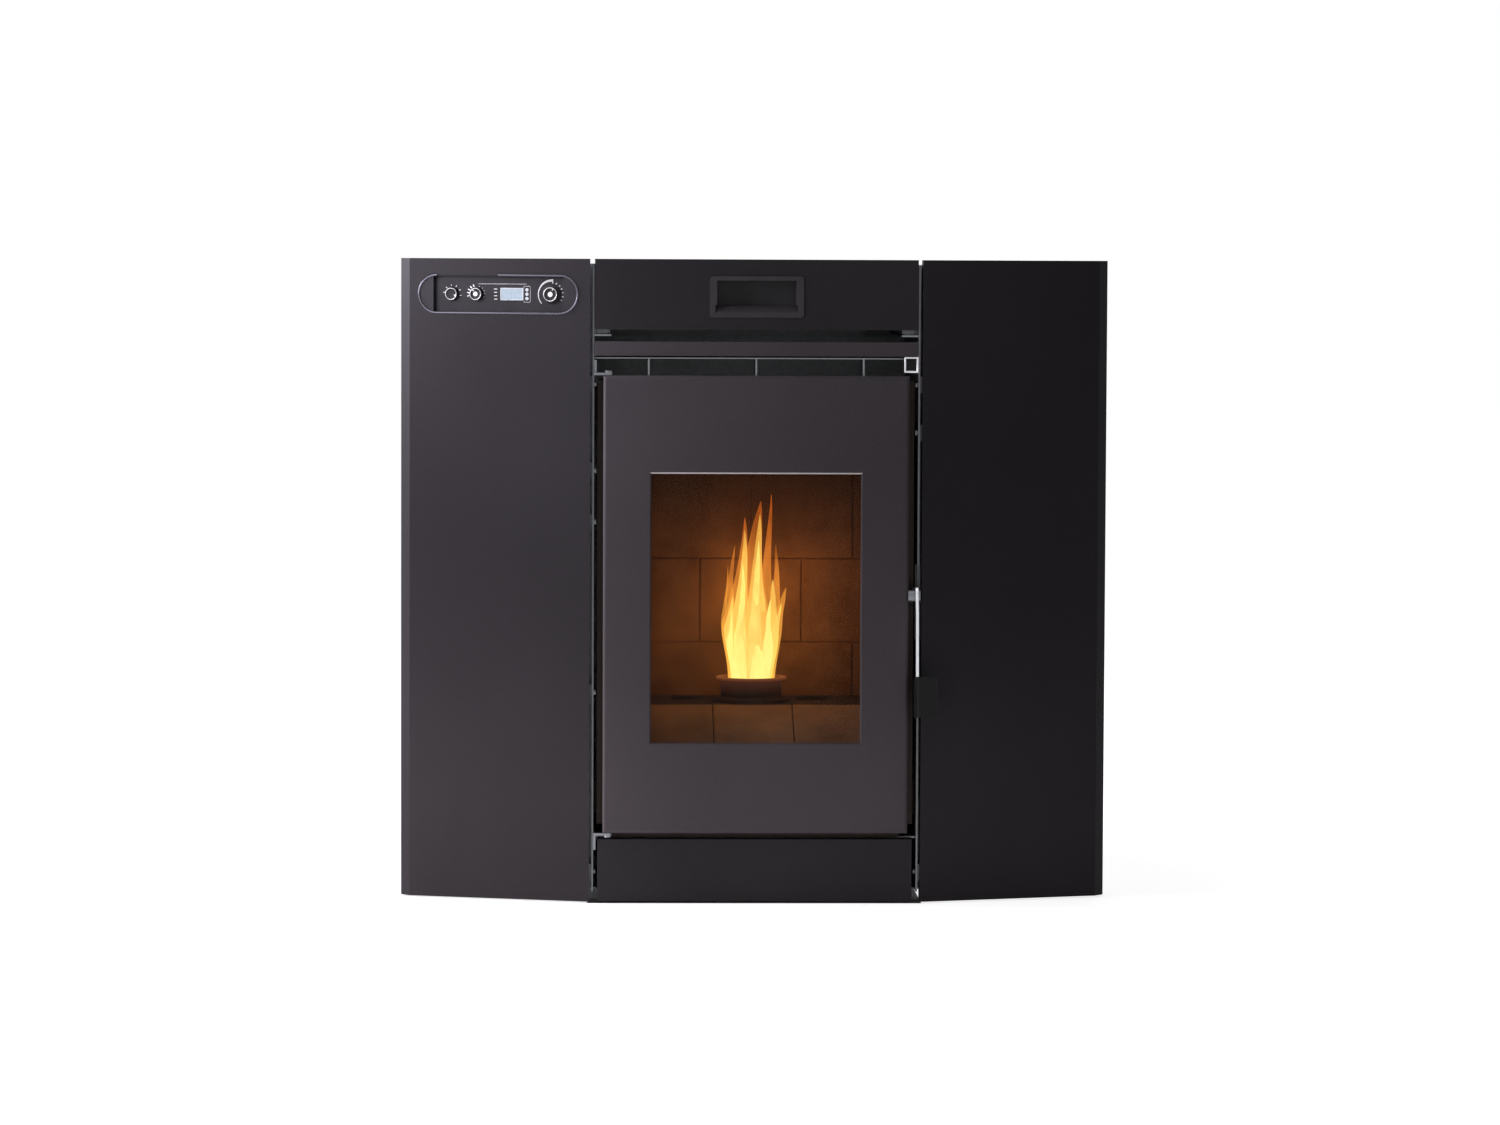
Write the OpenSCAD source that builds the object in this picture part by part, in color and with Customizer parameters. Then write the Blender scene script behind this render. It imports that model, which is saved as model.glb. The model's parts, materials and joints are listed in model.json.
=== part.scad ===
// Pellet-burning fireplace insert: folded steel front with swept side panels, glazed door,
// loading drawer above, ash drawer below, and the feed, exhaust and warm air gear behind.
// Millimetres, +Z up, the front faces -Y, and the model stands centred on its own base.

/* [Overall] */
// Width over both side panels
overall_w = 845; // [805:5:900]
// Height from the floor to the top edge
overall_h = 765; // [745:1:790]
// Clear width between the inner edges of the side panels
centre_w = 394; // [390:1:400]
// Height of the panels' lower edge above the floor
floor_gap = 2; // [1:0.5:4]

/* [Side panels] */
// Angle that each side panel is swept back by
panel_angle = 16.4; // [12:0.2:20]
// Thickness of the panel steel
panel_sheet = 2; // [1.5:0.5:3]
// Depth of the return fold at the inner edge
panel_return = 30; // [26:1:36]
// Width of the bevelled outer band, across the front
panel_bevel_w = 10.5; // [6:0.5:16]
// Depth of the bevelled outer band
panel_bevel_d = 11.7; // [6:0.1:16]
// Depth of the panel's outer side behind its bevel
panel_side_d = 17; // [12:1:24]
// Width of the lip folded in at the back of the outer side
panel_lip = 20; // [10:1:30]
// Width of the closing flange at top and bottom
panel_flange = 16; // [10:1:18]

/* [Front faces] */
// Height of the loading drawer's front
drawer_front_h = 83; // [78:1:90]
// Open slot under the loading drawer
drawer_slot_h = 14.3; // [13:0.1:18]
// Height of the louvre bar
bar_h = 17; // [12:1:22]
// Depth of the louvre bar's flanges
bar_d = 26; // [16:1:30]
// Open warm air slot between the bar and the door
outlet_h = 23.2; // [18:0.1:28]
// Thickness of the front sheet metal
front_sheet = 2; // [1.5:0.5:3]
// Depth of the folded edges of the two drawer fronts
front_fold = 22; // [14:1:24]
// Height of the ash drawer's front
ash_front_h = 74; // [68:0.5:80]
// Gap between the ash drawer's front and a side panel's inner edge
ash_side_gap = 10; // [9:0.5:17]
// Ground clearance of the ash drawer's front
ash_gap = 3; // [2:0.5:5]

/* [Door] */
// Gap between the door's edge and a side panel's inner edge
door_side_gap = 16; // [15:0.5:21]
// Gap between the door and the ash drawer's front
door_gap = 7.7; // [6:0.1:12]
// Thickness of the door's edge
door_t = 20; // [18:0.5:24]
// How far the door stands proud of the other fronts
door_proud = 9; // [6:0.5:12]
// Wall of the pressed door
door_wall = 3; // [2:0.5:4]
// Radius along the door's front edges
door_round = 4; // [2:0.5:6]
// Width of the door's stiles beside the window opening
window_side = 57; // [53:0.5:70]
// Height of the door above the window opening
window_top = 115.9; // [95:0.1:150]
// Height of the window's lower edge above the door's lower edge
window_rise = 107.9; // [80:0.1:130]
// Width of the bevel round the window opening
window_bevel = 1.8; // [1:0.1:3]
// Thickness of the glass
glass_t = 4; // [3:0.5:5]
// Overlap of the glass behind the opening
glass_lap = 10; // [7:0.5:12]
// Thickness of the flat gasket under the glass
gasket_t = 1; // [0.5:0.1:1.5]
// Distance of the rope seal's centre line from the door's edge
seal_inset = 17.5; // [17:0.1:20]
// Width of the rope seal
seal_w = 10; // [8:0.5:11]
// Space between the door's back and the frame that it closes on
seal_stand = 3; // [2:0.5:4]

/* [Door hinge] */
// Distance of the hinge axis from the door's left edge
hinge_inset = 6; // [5.5:0.1:8]
// Distance of the hinge axis behind the front plane
hinge_back = 2; // [1:0.5:4]
// Radius of the hinge pins
hinge_pin_r = 3; // [2.5:0.1:3.5]
// Thickness of the hinge tabs
hinge_tab_t = 3; // [2:0.5:4]
// Running clearance above and below the door
hinge_play = 0.3; // [0.2:0.1:1]
// Depth of the pins in the door
hinge_pin_depth = 20; // [14:1:26]

/* [Latch] */
// Height of the latch pivot above the door's lower edge
latch_rise = 282.3; // [250:0.1:320]
// Radius of the latch pivot
latch_pin_r = 4; // [3:0.5:5]
// Gap between the door's edge and the lever
latch_stand = 8.2; // [7.5:0.1:8.6]
// Thickness of the lever
lever_t = 3.5; // [2.5:0.5:3.5]
// Radius of the lever's hub
lever_hub_r = 13; // [11:0.5:15]
// Width of the lever's arm
lever_arm_w = 8; // [6:0.5:10]
// Drop from the pivot to the top of the grip
lever_drop = 96.4; // [80:0.2:110]
// Distance of the keeper pin behind the pivot
keeper_reach = 36; // [35:0.5:37]
// Height of the keeper pin above the pivot
keeper_lift = 6; // [5:0.5:8]
// Radius of the keeper pin
keeper_r = 2.5; // [2:0.25:2.5]
// Clearance of the hook round the keeper pin
hook_play = 0.8; // [0.4:0.1:1]
// Angle that the lever stands forward of its locked position
latch_free = 5.5; // [5.5:0.1:8]
// Width of the grip across its front
grip_w = 26.8; // [22:0.2:32]
// Depth of the grip
grip_d = 17; // [14:0.5:20]
// Height of the grip
grip_h = 48.3; // [40:0.1:60]
// Radius of the grip's upright edges
grip_round = 3.5; // [2:0.5:5]
// Depth of the lever's end in the grip
grip_socket = 12; // [8:1:20]

/* [Loading drawer handle] */
// Width of the handle moulding
cup_w = 111.5; // [90:0.5:140]
// Height of the handle moulding
cup_h = 49; // [40:0.5:56]
// Width of the finger opening
cup_open_w = 94; // [70:1:96]
// Height of the finger opening
cup_open_h = 30; // [24:1:34]
// Height of the finger opening's centre above the moulding's centre
cup_open_rise = 4.3; // [2:0.1:5]
// Depth of the finger recess
cup_d = 32; // [26:1:36]
// Wall of the moulding
cup_wall = 2.5; // [2:0.5:3]

/* [Control panel] */
// Flat panel left at either end of the stadium shaped bezel
bezel_end_gap = 13.56; // [12:0.02:20]
// Height of the bezel
bezel_h = 45.2; // [40:0.2:50]
// Shift of the bezel outward from the flat panel's middle
bezel_shift = 1.84; // [0:0.02:4]
// Distance of the bezel's centre below the top edge
bezel_drop = 42.3; // [36:0.1:50]
// Distance between the ends of the bezel and of the recess for the controls
recess_end_gap = 17.8; // [17:0.1:24]
// Height of the recess
recess_h = 43.2; // [36:0.2:43.6]
// Depth of the recess
recess_d = 8; // [6:0.5:10]
// Radius of the two small knobs
small_knob_r = 7.2; // [6:0.1:9]
// Radius of the large knob's grip
large_knob_r = 7.4; // [6:0.1:9]
// Radius of the large knob's skirt
large_skirt_r = 10.8; // [9:0.1:13]
// Height of the knobs above the recess floor
knob_h = 6; // [4:0.5:7]
// Width of the display
display_w = 27.6; // [24:0.2:30]
// Height of the display
display_h = 14; // [11:0.5:18]

/* [Firebox] */
// Gap between the firebox and a side panel's inner edge
firebox_side_gap = 25; // [22:0.5:27]
// Depth of the firebox
firebox_d = 246; // [230:1:262]
// Thickness of the firebox plate
firebox_plate = 3; // [2:0.5:4]
// Height of the firebox roof below the door's upper edge
firebox_roof_drop = 15.5; // [13:0.5:24]
// Height of the pot shelf above the door's lower edge
shelf_rise = 143.3; // [136:0.1:150]
// Thickness of the pot shelf
shelf_t = 6; // [4:0.5:8]
// Thickness of the ceramic liners
liner_t = 10; // [8:0.5:12]
// Thickness of the hearth tiles
tile_t = 12; // [8:0.5:14]
// Drop of the sloping hearth from the shelf to the door
hearth_drop = 40; // [20:1:44]
// Joint between neighbouring tiles
tile_joint = 1.2; // [0.8:0.1:2]
// Height of each course of the fireback's brick pattern
brick_h = 104; // [80:1:120]
// Length of each brick in the fireback's pattern
brick_l = 126; // [100:1:150]

/* [Burn pot] */
// Radius of the pot's rim
pot_rim_r = 43; // [40:0.5:48]
// Radius of the pot's body at the shelf
pot_body_r = 36; // [32:0.5:38]
// Height of the rim above the shelf
pot_rise = 30; // [24:1:36]
// Depth of the pot below the shelf
pot_depth = 30; // [24:1:40]
// Wall of the pot
pot_wall = 4; // [3:0.5:5]
// Distance of the pot's centre behind the front plane
pot_y = 165; // [160:1:175]

/* [Casing] */
// Width of the casing behind the side panels
case_w = 640; // [636:1:680]
// Depth from the front plane to the casing's back
case_d = 470; // [466:1:500]
// Thickness of the casing sheet
case_sheet = 2; // [1.5:0.5:2]
// Thickness of the two inner walls
wall_sheet = 2; // [1.5:0.5:2]
// Clear space between an inner wall and its side panel
panel_space = 3; // [2:0.5:4]
// Radius of the holes that fix the insert to the floor and the masonry
fixing_r = 4.5; // [3.5:0.5:6]
// Height of the base pan above the floor
base_h = 12; // [10:1:16]
// Depth of the hot air jacket behind the firebox
jacket_d = 28; // [24:1:34]
// Radius of the levelling feet
foot_r = 16; // [12:1:20]

/* [Pellet feed] */
// Outer radius of the auger tube
auger_tube_r = 28; // [26:0.5:30]
// Wall of the auger tube
auger_tube_wall = 2.5; // [2:0.5:3]
// Running clearance between the flight and its tube
auger_play = 2.5; // [1.5:0.5:4]
// Radius of the auger shaft
auger_shaft_r = 8; // [6:0.5:10]
// Pitch of the flight
auger_pitch = 40; // [34:1:50]
// Height of the auger's axis
auger_z = 450; // [440:1:460]
// Distance of the auger's axis behind the front plane
auger_y = 350; // [348:1:356]
// Width of the pellet chute
chute_w = 54; // [48:1:56]

/* [Exhaust] */
// Radius of the exhaust blower's housing
blower_r = 75; // [70:1:78]
// Outer radius of the flue spigot
flue_r = 40; // [38:0.5:40]
// Length of the flue spigot behind the casing
flue_reach = 45; // [30:1:60]
// Wall of the flue spigot
flue_wall = 2; // [1.5:0.5:3]
// Height of the blower's axis
blower_z = 190; // [180:1:200]
// Number of blades on the exhaust impeller
impeller_blades = 10; // [8:1:14]

/* [Warm air fan] */
// Radius of the cross flow wheel
fan_r = 30; // [26:0.5:32]
// Length of the cross flow wheel
fan_l = 216; // [180:2:230]
// Number of blades on the cross flow wheel
fan_blades = 24; // [18:1:30]
// Outer radius of the air intake pipe
intake_r = 25; // [18:0.5:25]
// Length of the flue and air spigots' stop collars
collar_l = 3; // [2:0.5:4]

/* [Fits] */
// Radial clearance of a turning pin or shaft
turn_fit = 0.05; // [0.03:0.01:0.1]
// Gap between sliding or seated pieces
slide_fit = 0.3; // [0.2:0.1:0.5]

/* [Hidden] */
$fn = 64;

steel_dark = "#3b383d";
steel_plain = "#8d8f92";
zinc = "#b9bcc0";

// Levels, from the top edge down and from the floor up
drawer_z0 = overall_h - drawer_front_h;
bar_z1 = drawer_z0 - drawer_slot_h;
bar_z0 = bar_z1 - bar_h;
door_z1 = bar_z0 - outlet_h;
ash_z1 = ash_gap + ash_front_h;
door_z0 = ash_z1 + door_gap;
door_h = door_z1 - door_z0;
window_z0 = door_z0 + window_rise;
window_z1 = door_z1 - window_top;
window_h = window_z1 - window_z0;
shelf_z = door_z0 + shelf_rise;

// Depths, from the front plane back
door_front = -door_proud;
door_back = door_t - door_proud;
plate_back = door_front + door_wall + 0.3;
glass_front = plate_back + gasket_t;
glass_back = glass_front + glass_t;
frame_y = door_back + seal_stand;
firebox_y0 = frame_y + front_sheet;
firebox_y1 = firebox_y0 + firebox_d;
jacket_y = firebox_y1 + jacket_d;
case_inner_y = case_d - case_sheet;

// Side panels
inner_x = centre_w / 2;
outer_x = overall_w / 2;
bevel_x = outer_x - panel_bevel_w;
bevel_y = (bevel_x - inner_x) * tan(panel_angle);
panel_back_y = bevel_y + panel_bevel_d + panel_side_d;
panel_len = (bevel_x - inner_x) / cos(panel_angle);
bezel_l = panel_len - 2 * bezel_end_gap;
bezel_u = panel_len / 2 + bezel_shift;
recess_l = bezel_l - 2 * recess_end_gap;
panel_path = [
    [inner_x, panel_return], [inner_x, 0], [bevel_x, bevel_y],
    [outer_x, bevel_y + panel_bevel_d], [outer_x, panel_back_y],
];

// Walls
wall_x1 = inner_x - panel_space;
wall_x0 = wall_x1 - wall_sheet;
frame_x = wall_x0 - 4;
case_x = case_w / 2;
case_front_y = 46;
case_z0 = base_h + case_sheet;
case_z1 = overall_h - 6;
wall_front_y = 4;
screw_y = wall_front_y + 17;
screw_r = 2;
left_spacers = [36, 250, door_z0 + 368.3, door_z1 - 113.5, door_z1 - 10.5];
right_spacers = [36, 250, door_z1 - 67.5, door_z1 - 10.5];

// Door
door_w = centre_w - 2 * door_side_gap;
door_x = door_w / 2;
window_w = door_w - 2 * window_side;
opening_inset = seal_inset + seal_w / 2 + 8.5;
opening_x = door_x - opening_inset;
opening_z0 = door_z0 + opening_inset;
opening_z1 = door_z1 - opening_inset;
frame_z0 = door_z0 + 9.3;
frame_z1 = door_z1 - 5.5;
hinge_x = -door_x + hinge_inset;
latch_z = door_z0 + latch_rise;
lever_x0 = door_x + latch_stand;
lever_x1 = lever_x0 + lever_t;
pivot_head_t = 2.2;
glass_x = window_w / 2 + glass_lap;
retainer_w = 18;
retainer_t = 2;
post_x = glass_x + 6;

// Latch
keeper_dist = norm([keeper_reach, keeper_lift]);
hook_t = 5;
hook_r0 = keeper_dist + keeper_r + hook_play;
hook_r1 = hook_r0 + hook_t;
hook_nose = keeper_lift + 0.5;
flange_y1 = hinge_back + hook_r1 + 4;
lever_y = -13.5;
grip_top = latch_z - lever_drop;
grip_x = lever_x0 - 3.2;
grip_y = -9.3;
grip_nose = (grip_d - grip_round) * cos(panel_angle) - grip_round * sin(panel_angle) + grip_round;
grip_low = lever_drop + grip_h;
grip_front = hinge_back + (grip_y - grip_nose - hinge_back) * cos(latch_free) - grip_low * sin(latch_free);

// Firebox
firebox_x = inner_x - firebox_side_gap;
firebox_in_x = firebox_x - firebox_plate;
firebox_z0 = ash_z1 + 1;
firebox_z1 = door_z1 - firebox_roof_drop;
hearth_front_y = firebox_y0 + 4;
shelf_y = pot_y - 47;
fireback_y = firebox_y1 - firebox_plate - 1 - liner_t - 2;
liner_top = opening_z1 - 56.5;
liner_x = firebox_in_x - 2;
ash_hole_x = firebox_in_x - 29;
ash_hole_y0 = firebox_y0 + 44;
ash_hole_y1 = firebox_y1 - 32;
pot_seat_r = pot_body_r + 2;
chamber_r = pot_y - shelf_y - 0.5;
intake_z = shelf_z - 68;
igniter_z = shelf_z + 12;
igniter_r = 7;

// Air jacket
jacket_top_z = bar_z0 - 3.5;
jacket_back_top = drawer_z0 - 12;
fan_y = jacket_y + 60;
fan_x0 = -fan_l / 2 - 30;
fan_x1 = fan_x0 + fan_l;
fan_shell_r = fan_r + 12;
fan_mouth_z0 = ash_z1 + 5;
fan_mouth_h = 34;
fan_z = fan_mouth_z0 + 6;

// Loading drawer
drawer_x = wall_x0 - 0.6;
tray_x = wall_x0 - 17;
tray_floor_z = drawer_z0 + 8;
tray_z1 = case_z1 - case_sheet - 5;
tray_y0 = cup_d + 8;
tray_y1 = jacket_y + 14;
tray_sheet = 1.5;
runner_z0 = drawer_z0 - 8;
cup_z = overall_h - 44.3;

// Exhaust
duct_x1 = firebox_in_x - 1;
duct_x0 = duct_x1 - 60;
duct_y0 = jacket_y + 8;
blower_y = jacket_y + 8 + blower_r;
duct_y1 = blower_y + 37;
duct_z1 = firebox_z1 - 6;
duct_sheet = 2;
blower_x0 = duct_x1 + 4;
blower_x1 = blower_x0 + 2 * flue_r;
flue_x = blower_x0 + flue_r;
flue_z = blower_z - blower_r + flue_r;
stub_x0 = duct_x0 + 4;
stub_x1 = duct_x1 - 4;
stub_z1 = duct_z1 - 6;
stub_z0 = stub_z1 - 40;
rotor_shaft_r = 4;

// Hopper and feed
hopper_y0 = tray_y1 + 4;
hopper_y1 = case_inner_y - 6;
hopper_z1 = tray_floor_z - 2;
hopper_z0 = auger_z + auger_tube_r;
hopper_x0 = -182;
hopper_lip_z = hopper_z1 - 42;
throat_x1 = -48;
hopper_run = (duct_x0 - 9 - throat_x1) * (hopper_lip_z - hopper_z0) / (duct_z1 - hopper_z0);
hopper_x1 = min(145, throat_x1 + hopper_run);
hopper_back_z = hopper_z0 + 0.486 * (hopper_z1 - hopper_z0);
hopper_front_z = hopper_z0 + 0.152 * (hopper_z1 - hopper_z0);
throat_y0 = auger_y - 26;
throat_y1 = auger_y + 26;
hopper_sheet = 2;
tube_x0 = -196;
tube_x1 = chute_w / 2 + 1;
chute_y0 = auger_y - auger_tube_r;
chute_y1 = auger_y + auger_tube_r;
chute_top_z = auger_z - auger_tube_r;
chute_end_y = fireback_y - 6;

// Outside fastenings and the mains inlet
fixing_x = case_x - 90;
fixing_y = [case_front_y + 20, case_d - 30];
inlet_x = -250;
inlet_z = 66;
inlet_w = 28;
inlet_h = 20;

// The model's own frame stands centred under its depth
centre_y = (case_d + flue_reach + grip_front) / 2;

// Unit vector along v
function unit(v) = v / norm(v);

// Left-hand normal of the segment from a to b
function left_of(a, b) = let (d = unit(b - a)) [-d[1], d[0]];

// Point i of a path moved sideways by t, mitred at its corners
function mitred(path, i, t) =
    let (last = len(path) - 1)
    let (before = left_of(path[max(i - 1, 0)], path[max(i, 1)]))
    let (after = left_of(path[min(i, last - 1)], path[min(i + 1, last)]))
    let (sum = before + after)
    path[i] + 2 * t * sum / (sum * sum);

// Closed outline of a folded sheet of thickness t
function folded(path, t) = concat(path, [for (i = [len(path) - 1 : -1 : 0]) mitred(path, i, t)]);

// Points on an arc
function arc(r, from, to, steps) = [
    for (i = [0 : steps]) let (a = from + (to - from) * i / steps) [r * cos(a), r * sin(a)]
];

// Puts the pieces in the model's frame
module placed() {
    translate([0, -centre_y, 0]) children();
}

// Box between two corners
module block(x0, x1, y0, y1, z0, z1) {
    translate([x0, y0, z0]) cube([x1 - x0, y1 - y0, z1 - z0]);
}

// Box symmetric about X = 0
module wide_block(half_w, y0, y1, z0, z1) {
    block(-half_w, half_w, y0, y1, z0, z1);
}

// Profile in Y and Z, drawn along X
module along_x(x0, x1) {
    translate([x0, 0, 0]) rotate([90, 0, 90]) linear_extrude(x1 - x0) children();
}

// Profile in X and Z, drawn along Y
module along_y(y0, y1) {
    translate([0, y1, 0]) rotate([90, 0, 0]) linear_extrude(y1 - y0) children();
}

// Round bar along X at a place in Y and Z
module rod_x(x0, x1, y, z, r) {
    translate([x0, y, z]) rotate([0, 90, 0]) cylinder(h = x1 - x0, r = r);
}

// Round bar along Y at a place in X and Z
module rod_y(y0, y1, x, z, r) {
    translate([x, y0, z]) rotate([-90, 0, 0]) cylinder(h = y1 - y0, r = r);
}

// Upright round bar
module rod_z(z0, z1, x, y, r) {
    translate([x, y, z0]) cylinder(h = z1 - z0, r = r);
}

// Flat stadium outline
module stadium(l, h) {
    square([l - h, h], center = true);
    translate([(l - h) / 2, 0]) circle(r = h / 2);
    translate([-(l - h) / 2, 0]) circle(r = h / 2);
}

// Rectangle with round corners
module round_rect(w, h, r) {
    square([w - 2 * r, h], center = true);
    square([w, h - 2 * r], center = true);
    for (x = [-1, 1], y = [-1, 1]) translate([x * (w / 2 - r), y * (h / 2 - r)]) circle(r = r);
}

// The same piece on the left and on the right
module both_sides() {
    children();
    mirror([1, 0, 0]) children();
}

// Frame of the left panel: X runs outward along it, Y points out of its face
module on_left_panel() {
    translate([-inner_x, 0, 0]) rotate([0, 0, 180 - panel_angle]) children();
}

// The same, centred on the control bezel, with Z up
module on_bezel() {
    on_left_panel() translate([bezel_u, 0, overall_h - bezel_drop]) children();
}

// Prism out of the bezel's plane, from depth y0 to y1
module from_bezel(y0, y1) {
    on_bezel() along_y(y0, y1) children();
}

// Holes for the panel screws on one side
module screw_holes(levels, side) {
    for (z = levels) {
        rod_x(side > 0 ? wall_x0 - 1 : -inner_x - 8, side > 0 ? inner_x + 8 : -wall_x0 + 1,
            screw_y, z, screw_r);
    }
}

// Right-hand side panel, before its holes
module side_panel_sheet() {
    lipped = concat(panel_path, [[outer_x - panel_lip, panel_back_y]]);
    translate([0, 0, floor_gap]) linear_extrude(overall_h - floor_gap) polygon(folded(lipped, panel_sheet));
    for (z = [floor_gap, overall_h - panel_sheet]) {
        translate([0, 0, z]) linear_extrude(panel_sheet) polygon(folded(panel_path, panel_flange));
    }
}

module left_side_panel() {
    color(steel_dark) placed() difference() {
        mirror([1, 0, 0]) side_panel_sheet();
        from_bezel(-panel_sheet - 1, 1) stadium(bezel_l, bezel_h);
        screw_holes(left_spacers, -1);
    }
}

module right_side_panel() {
    color(steel_dark) placed() difference() {
        side_panel_sheet();
        screw_holes(right_spacers, 1);
    }
}

// Spacer tabs that carry a panel off its inner wall, on the right
module spacer_tabs(levels) {
    tab_h = 20;
    for (z = levels) block(wall_x1 - 0.5, inner_x, screw_y - 7, screw_y + 7, z - tab_h / 2, z + tab_h / 2);
}

// One panel screw on the right, with its head inside the wall and its nut in the panel
module panel_screw(z) {
    head_t = 2.5;
    rod_x(wall_x0 - head_t, wall_x0, screw_y, z, 2 * screw_r);
    rod_x(wall_x0, inner_x + panel_sheet + 5, screw_y, z, screw_r);
    translate([inner_x + panel_sheet, screw_y, z]) rotate([0, 90, 0])
        cylinder(h = 3, r = 2 * screw_r, $fn = 6);
}

module panel_screws() {
    color(zinc) placed() {
        for (z = right_spacers) panel_screw(z);
        for (z = left_spacers) mirror([1, 0, 0]) panel_screw(z);
    }
}

// Brackets from the casing to the back lips of the panels
module panel_stays() {
    stay_t = 2.5;
    stay_inset = 120;
    color(steel_plain) placed() both_sides() for (z = [stay_inset, overall_h - stay_inset - 5]) {
        difference() {
            block(case_x, outer_x - 4, panel_back_y, panel_back_y + 34, z, z + stay_t);
            rod_z(z - 1, z + stay_t + 1, (case_x + outer_x) / 2, panel_back_y + 17, fixing_r);
        }
        block(outer_x - panel_lip, outer_x - 4, panel_back_y, panel_back_y + stay_t, z - 14, z);
        block(case_x, case_x + stay_t, panel_back_y, panel_back_y + 34, z - 20, z);
    }
}

knob_floor = -recess_d;
bezel_floor_t = 2;
board_y = knob_floor - 12;
board_t = 1.6;
shaft_r = 3;
small_knob_u = [0.3674 * recess_l, 0.1791 * recess_l];
large_knob_u = -0.3959 * recess_l;
display_u = -0.0936 * recess_l;
lights_u = -0.2076 * recess_l;
light_r = 2;
light_pitch = 5.2;

module control_bezel() {
    frame_lap = 4;
    flange_y = -panel_sheet - 1.2;
    color("#2d2b30") placed() difference() {
        union() {
            from_bezel(flange_y, -0.6) stadium(bezel_l - 0.4, bezel_h - 0.4);
            from_bezel(flange_y - 1, flange_y + 1)
                stadium(bezel_l + 2 * frame_lap, bezel_h + 2 * frame_lap);
            from_bezel(knob_floor - bezel_floor_t, flange_y)
                square([recess_l + 6, recess_h + 6], center = true);
        }
        from_bezel(knob_floor, 1) square([recess_l, recess_h], center = true);
        for (u = concat(small_knob_u, [large_knob_u])) {
            from_bezel(board_y, 1) translate([u, 0]) circle(r = shaft_r + 0.3);
        }
        from_bezel(board_y, 1) translate([display_u, 0])
            square([display_w - 3, display_h - 3], center = true);
        for (i = [-1 : 1]) {
            from_bezel(board_y, 1) translate([lights_u, i * light_pitch]) circle(r = light_r - 0.5);
        }
    }
}

// Circuit board behind the bezel, with its potentiometers and stand-offs
module control_board() {
    pot_r = 8;
    color("#2f5b3c") placed() {
        from_bezel(board_y, board_y + board_t) square([recess_l - 6, recess_h + 4], center = true);
        for (u = concat(small_knob_u, [large_knob_u])) difference() {
            from_bezel(board_y + 1, knob_floor - bezel_floor_t - 0.3)
                translate([u, 0]) circle(r = pot_r);
            from_bezel(board_y + board_t + 1, 1) translate([u, 0]) circle(r = shaft_r + turn_fit);
        }
        for (x = [-1, 1], z = [-1, 1]) {
            from_bezel(board_y + 1, knob_floor - bezel_floor_t)
                translate([x * (recess_l / 2 - 6), z * (recess_h / 2 - 3)]) circle(r = 2.5);
        }
    }
}

module display_window() {
    color("#bcd2ea") placed() {
        from_bezel(knob_floor, knob_floor + 0.8) translate([display_u, 0])
            square([display_w, display_h], center = true);
        from_bezel(board_y + board_t, knob_floor + 0.4) translate([display_u, 0])
            square([display_w - 3, display_h - 3], center = true);
    }
}

module indicator_lights() {
    color("#cfd3d8") placed() for (i = [-1 : 1]) {
        from_bezel(knob_floor, knob_floor + 1) translate([lights_u, i * light_pitch]) circle(r = light_r);
        from_bezel(board_y + board_t, knob_floor + 0.5) translate([lights_u, i * light_pitch])
            circle(r = light_r - 0.5);
    }
}

// Fluted knob on its shaft; the shaft turns in the potentiometer behind the bezel
module knob(u, r, skirt_r, flutes) {
    difference() {
        union() {
            from_bezel(knob_floor + 0.4, knob_floor + knob_h) translate([u, 0]) circle(r = r);
            from_bezel(knob_floor + 0.4, knob_floor + 1.6) translate([u, 0]) circle(r = skirt_r);
            from_bezel(knob_floor - 8, knob_floor + 1) translate([u, 0]) circle(r = shaft_r);
        }
        for (i = [0 : flutes - 1]) {
            a = i * 360 / flutes;
            from_bezel(knob_floor + 1.6, knob_floor + knob_h + 1)
                translate([u + (r + 0.9) * cos(a), (r + 0.9) * sin(a)]) circle(r = 1.4);
        }
        from_bezel(knob_floor + knob_h - 0.8, knob_floor + knob_h + 1)
            translate([u, r / 2]) square([0.9, r], center = true);
    }
}

module fan_speed_knob() {
    color("#1f1e21") placed() knob(small_knob_u[0], small_knob_r, small_knob_r, 12);
}

module feed_rate_knob() {
    color("#1f1e21") placed() knob(small_knob_u[1], small_knob_r, small_knob_r, 12);
}

module thermostat_knob() {
    color("#1f1e21") placed() knob(large_knob_u, large_knob_r, large_skirt_r, 14);
}

// Plan section of the door, with round front edges
module door_section(w, t, r) {
    translate([-w / 2, door_front + r]) square([w, t - r]);
    translate([-w / 2 + r, door_front]) square([w - 2 * r, t]);
    for (x = [-1, 1]) translate([x * (w / 2 - r), door_front + r]) circle(r = r);
}

// Rectangular ring inside the door's outline, between two insets
module door_ring(outer, inner, y0, y1) {
    difference() {
        wide_block(door_x - outer, y0, y1, door_z0 + outer, door_z1 - outer);
        wide_block(door_x - inner, y0 - 1, y1 + 1, door_z0 + inner, door_z1 - inner);
    }
}

// Window opening with its bevelled outer edge
module window_cut() {
    x = window_w / 2;
    front = door_front;
    inside = door_front + window_bevel;
    rim = window_bevel + 1;
    intersection() {
        translate([0, 0, window_z0 - rim]) linear_extrude(window_h + 2 * rim) polygon([
            [-x - rim, front - 1], [x + rim, front - 1],
            [x, inside], [x, glass_front], [-x, glass_front], [-x, inside],
        ]);
        along_x(-x - rim, x + rim) polygon([
            [front - 1, window_z0 - rim], [front - 1, window_z1 + rim],
            [inside, window_z1], [glass_front, window_z1], [glass_front, window_z0], [inside, window_z0],
        ]);
    }
}

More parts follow.
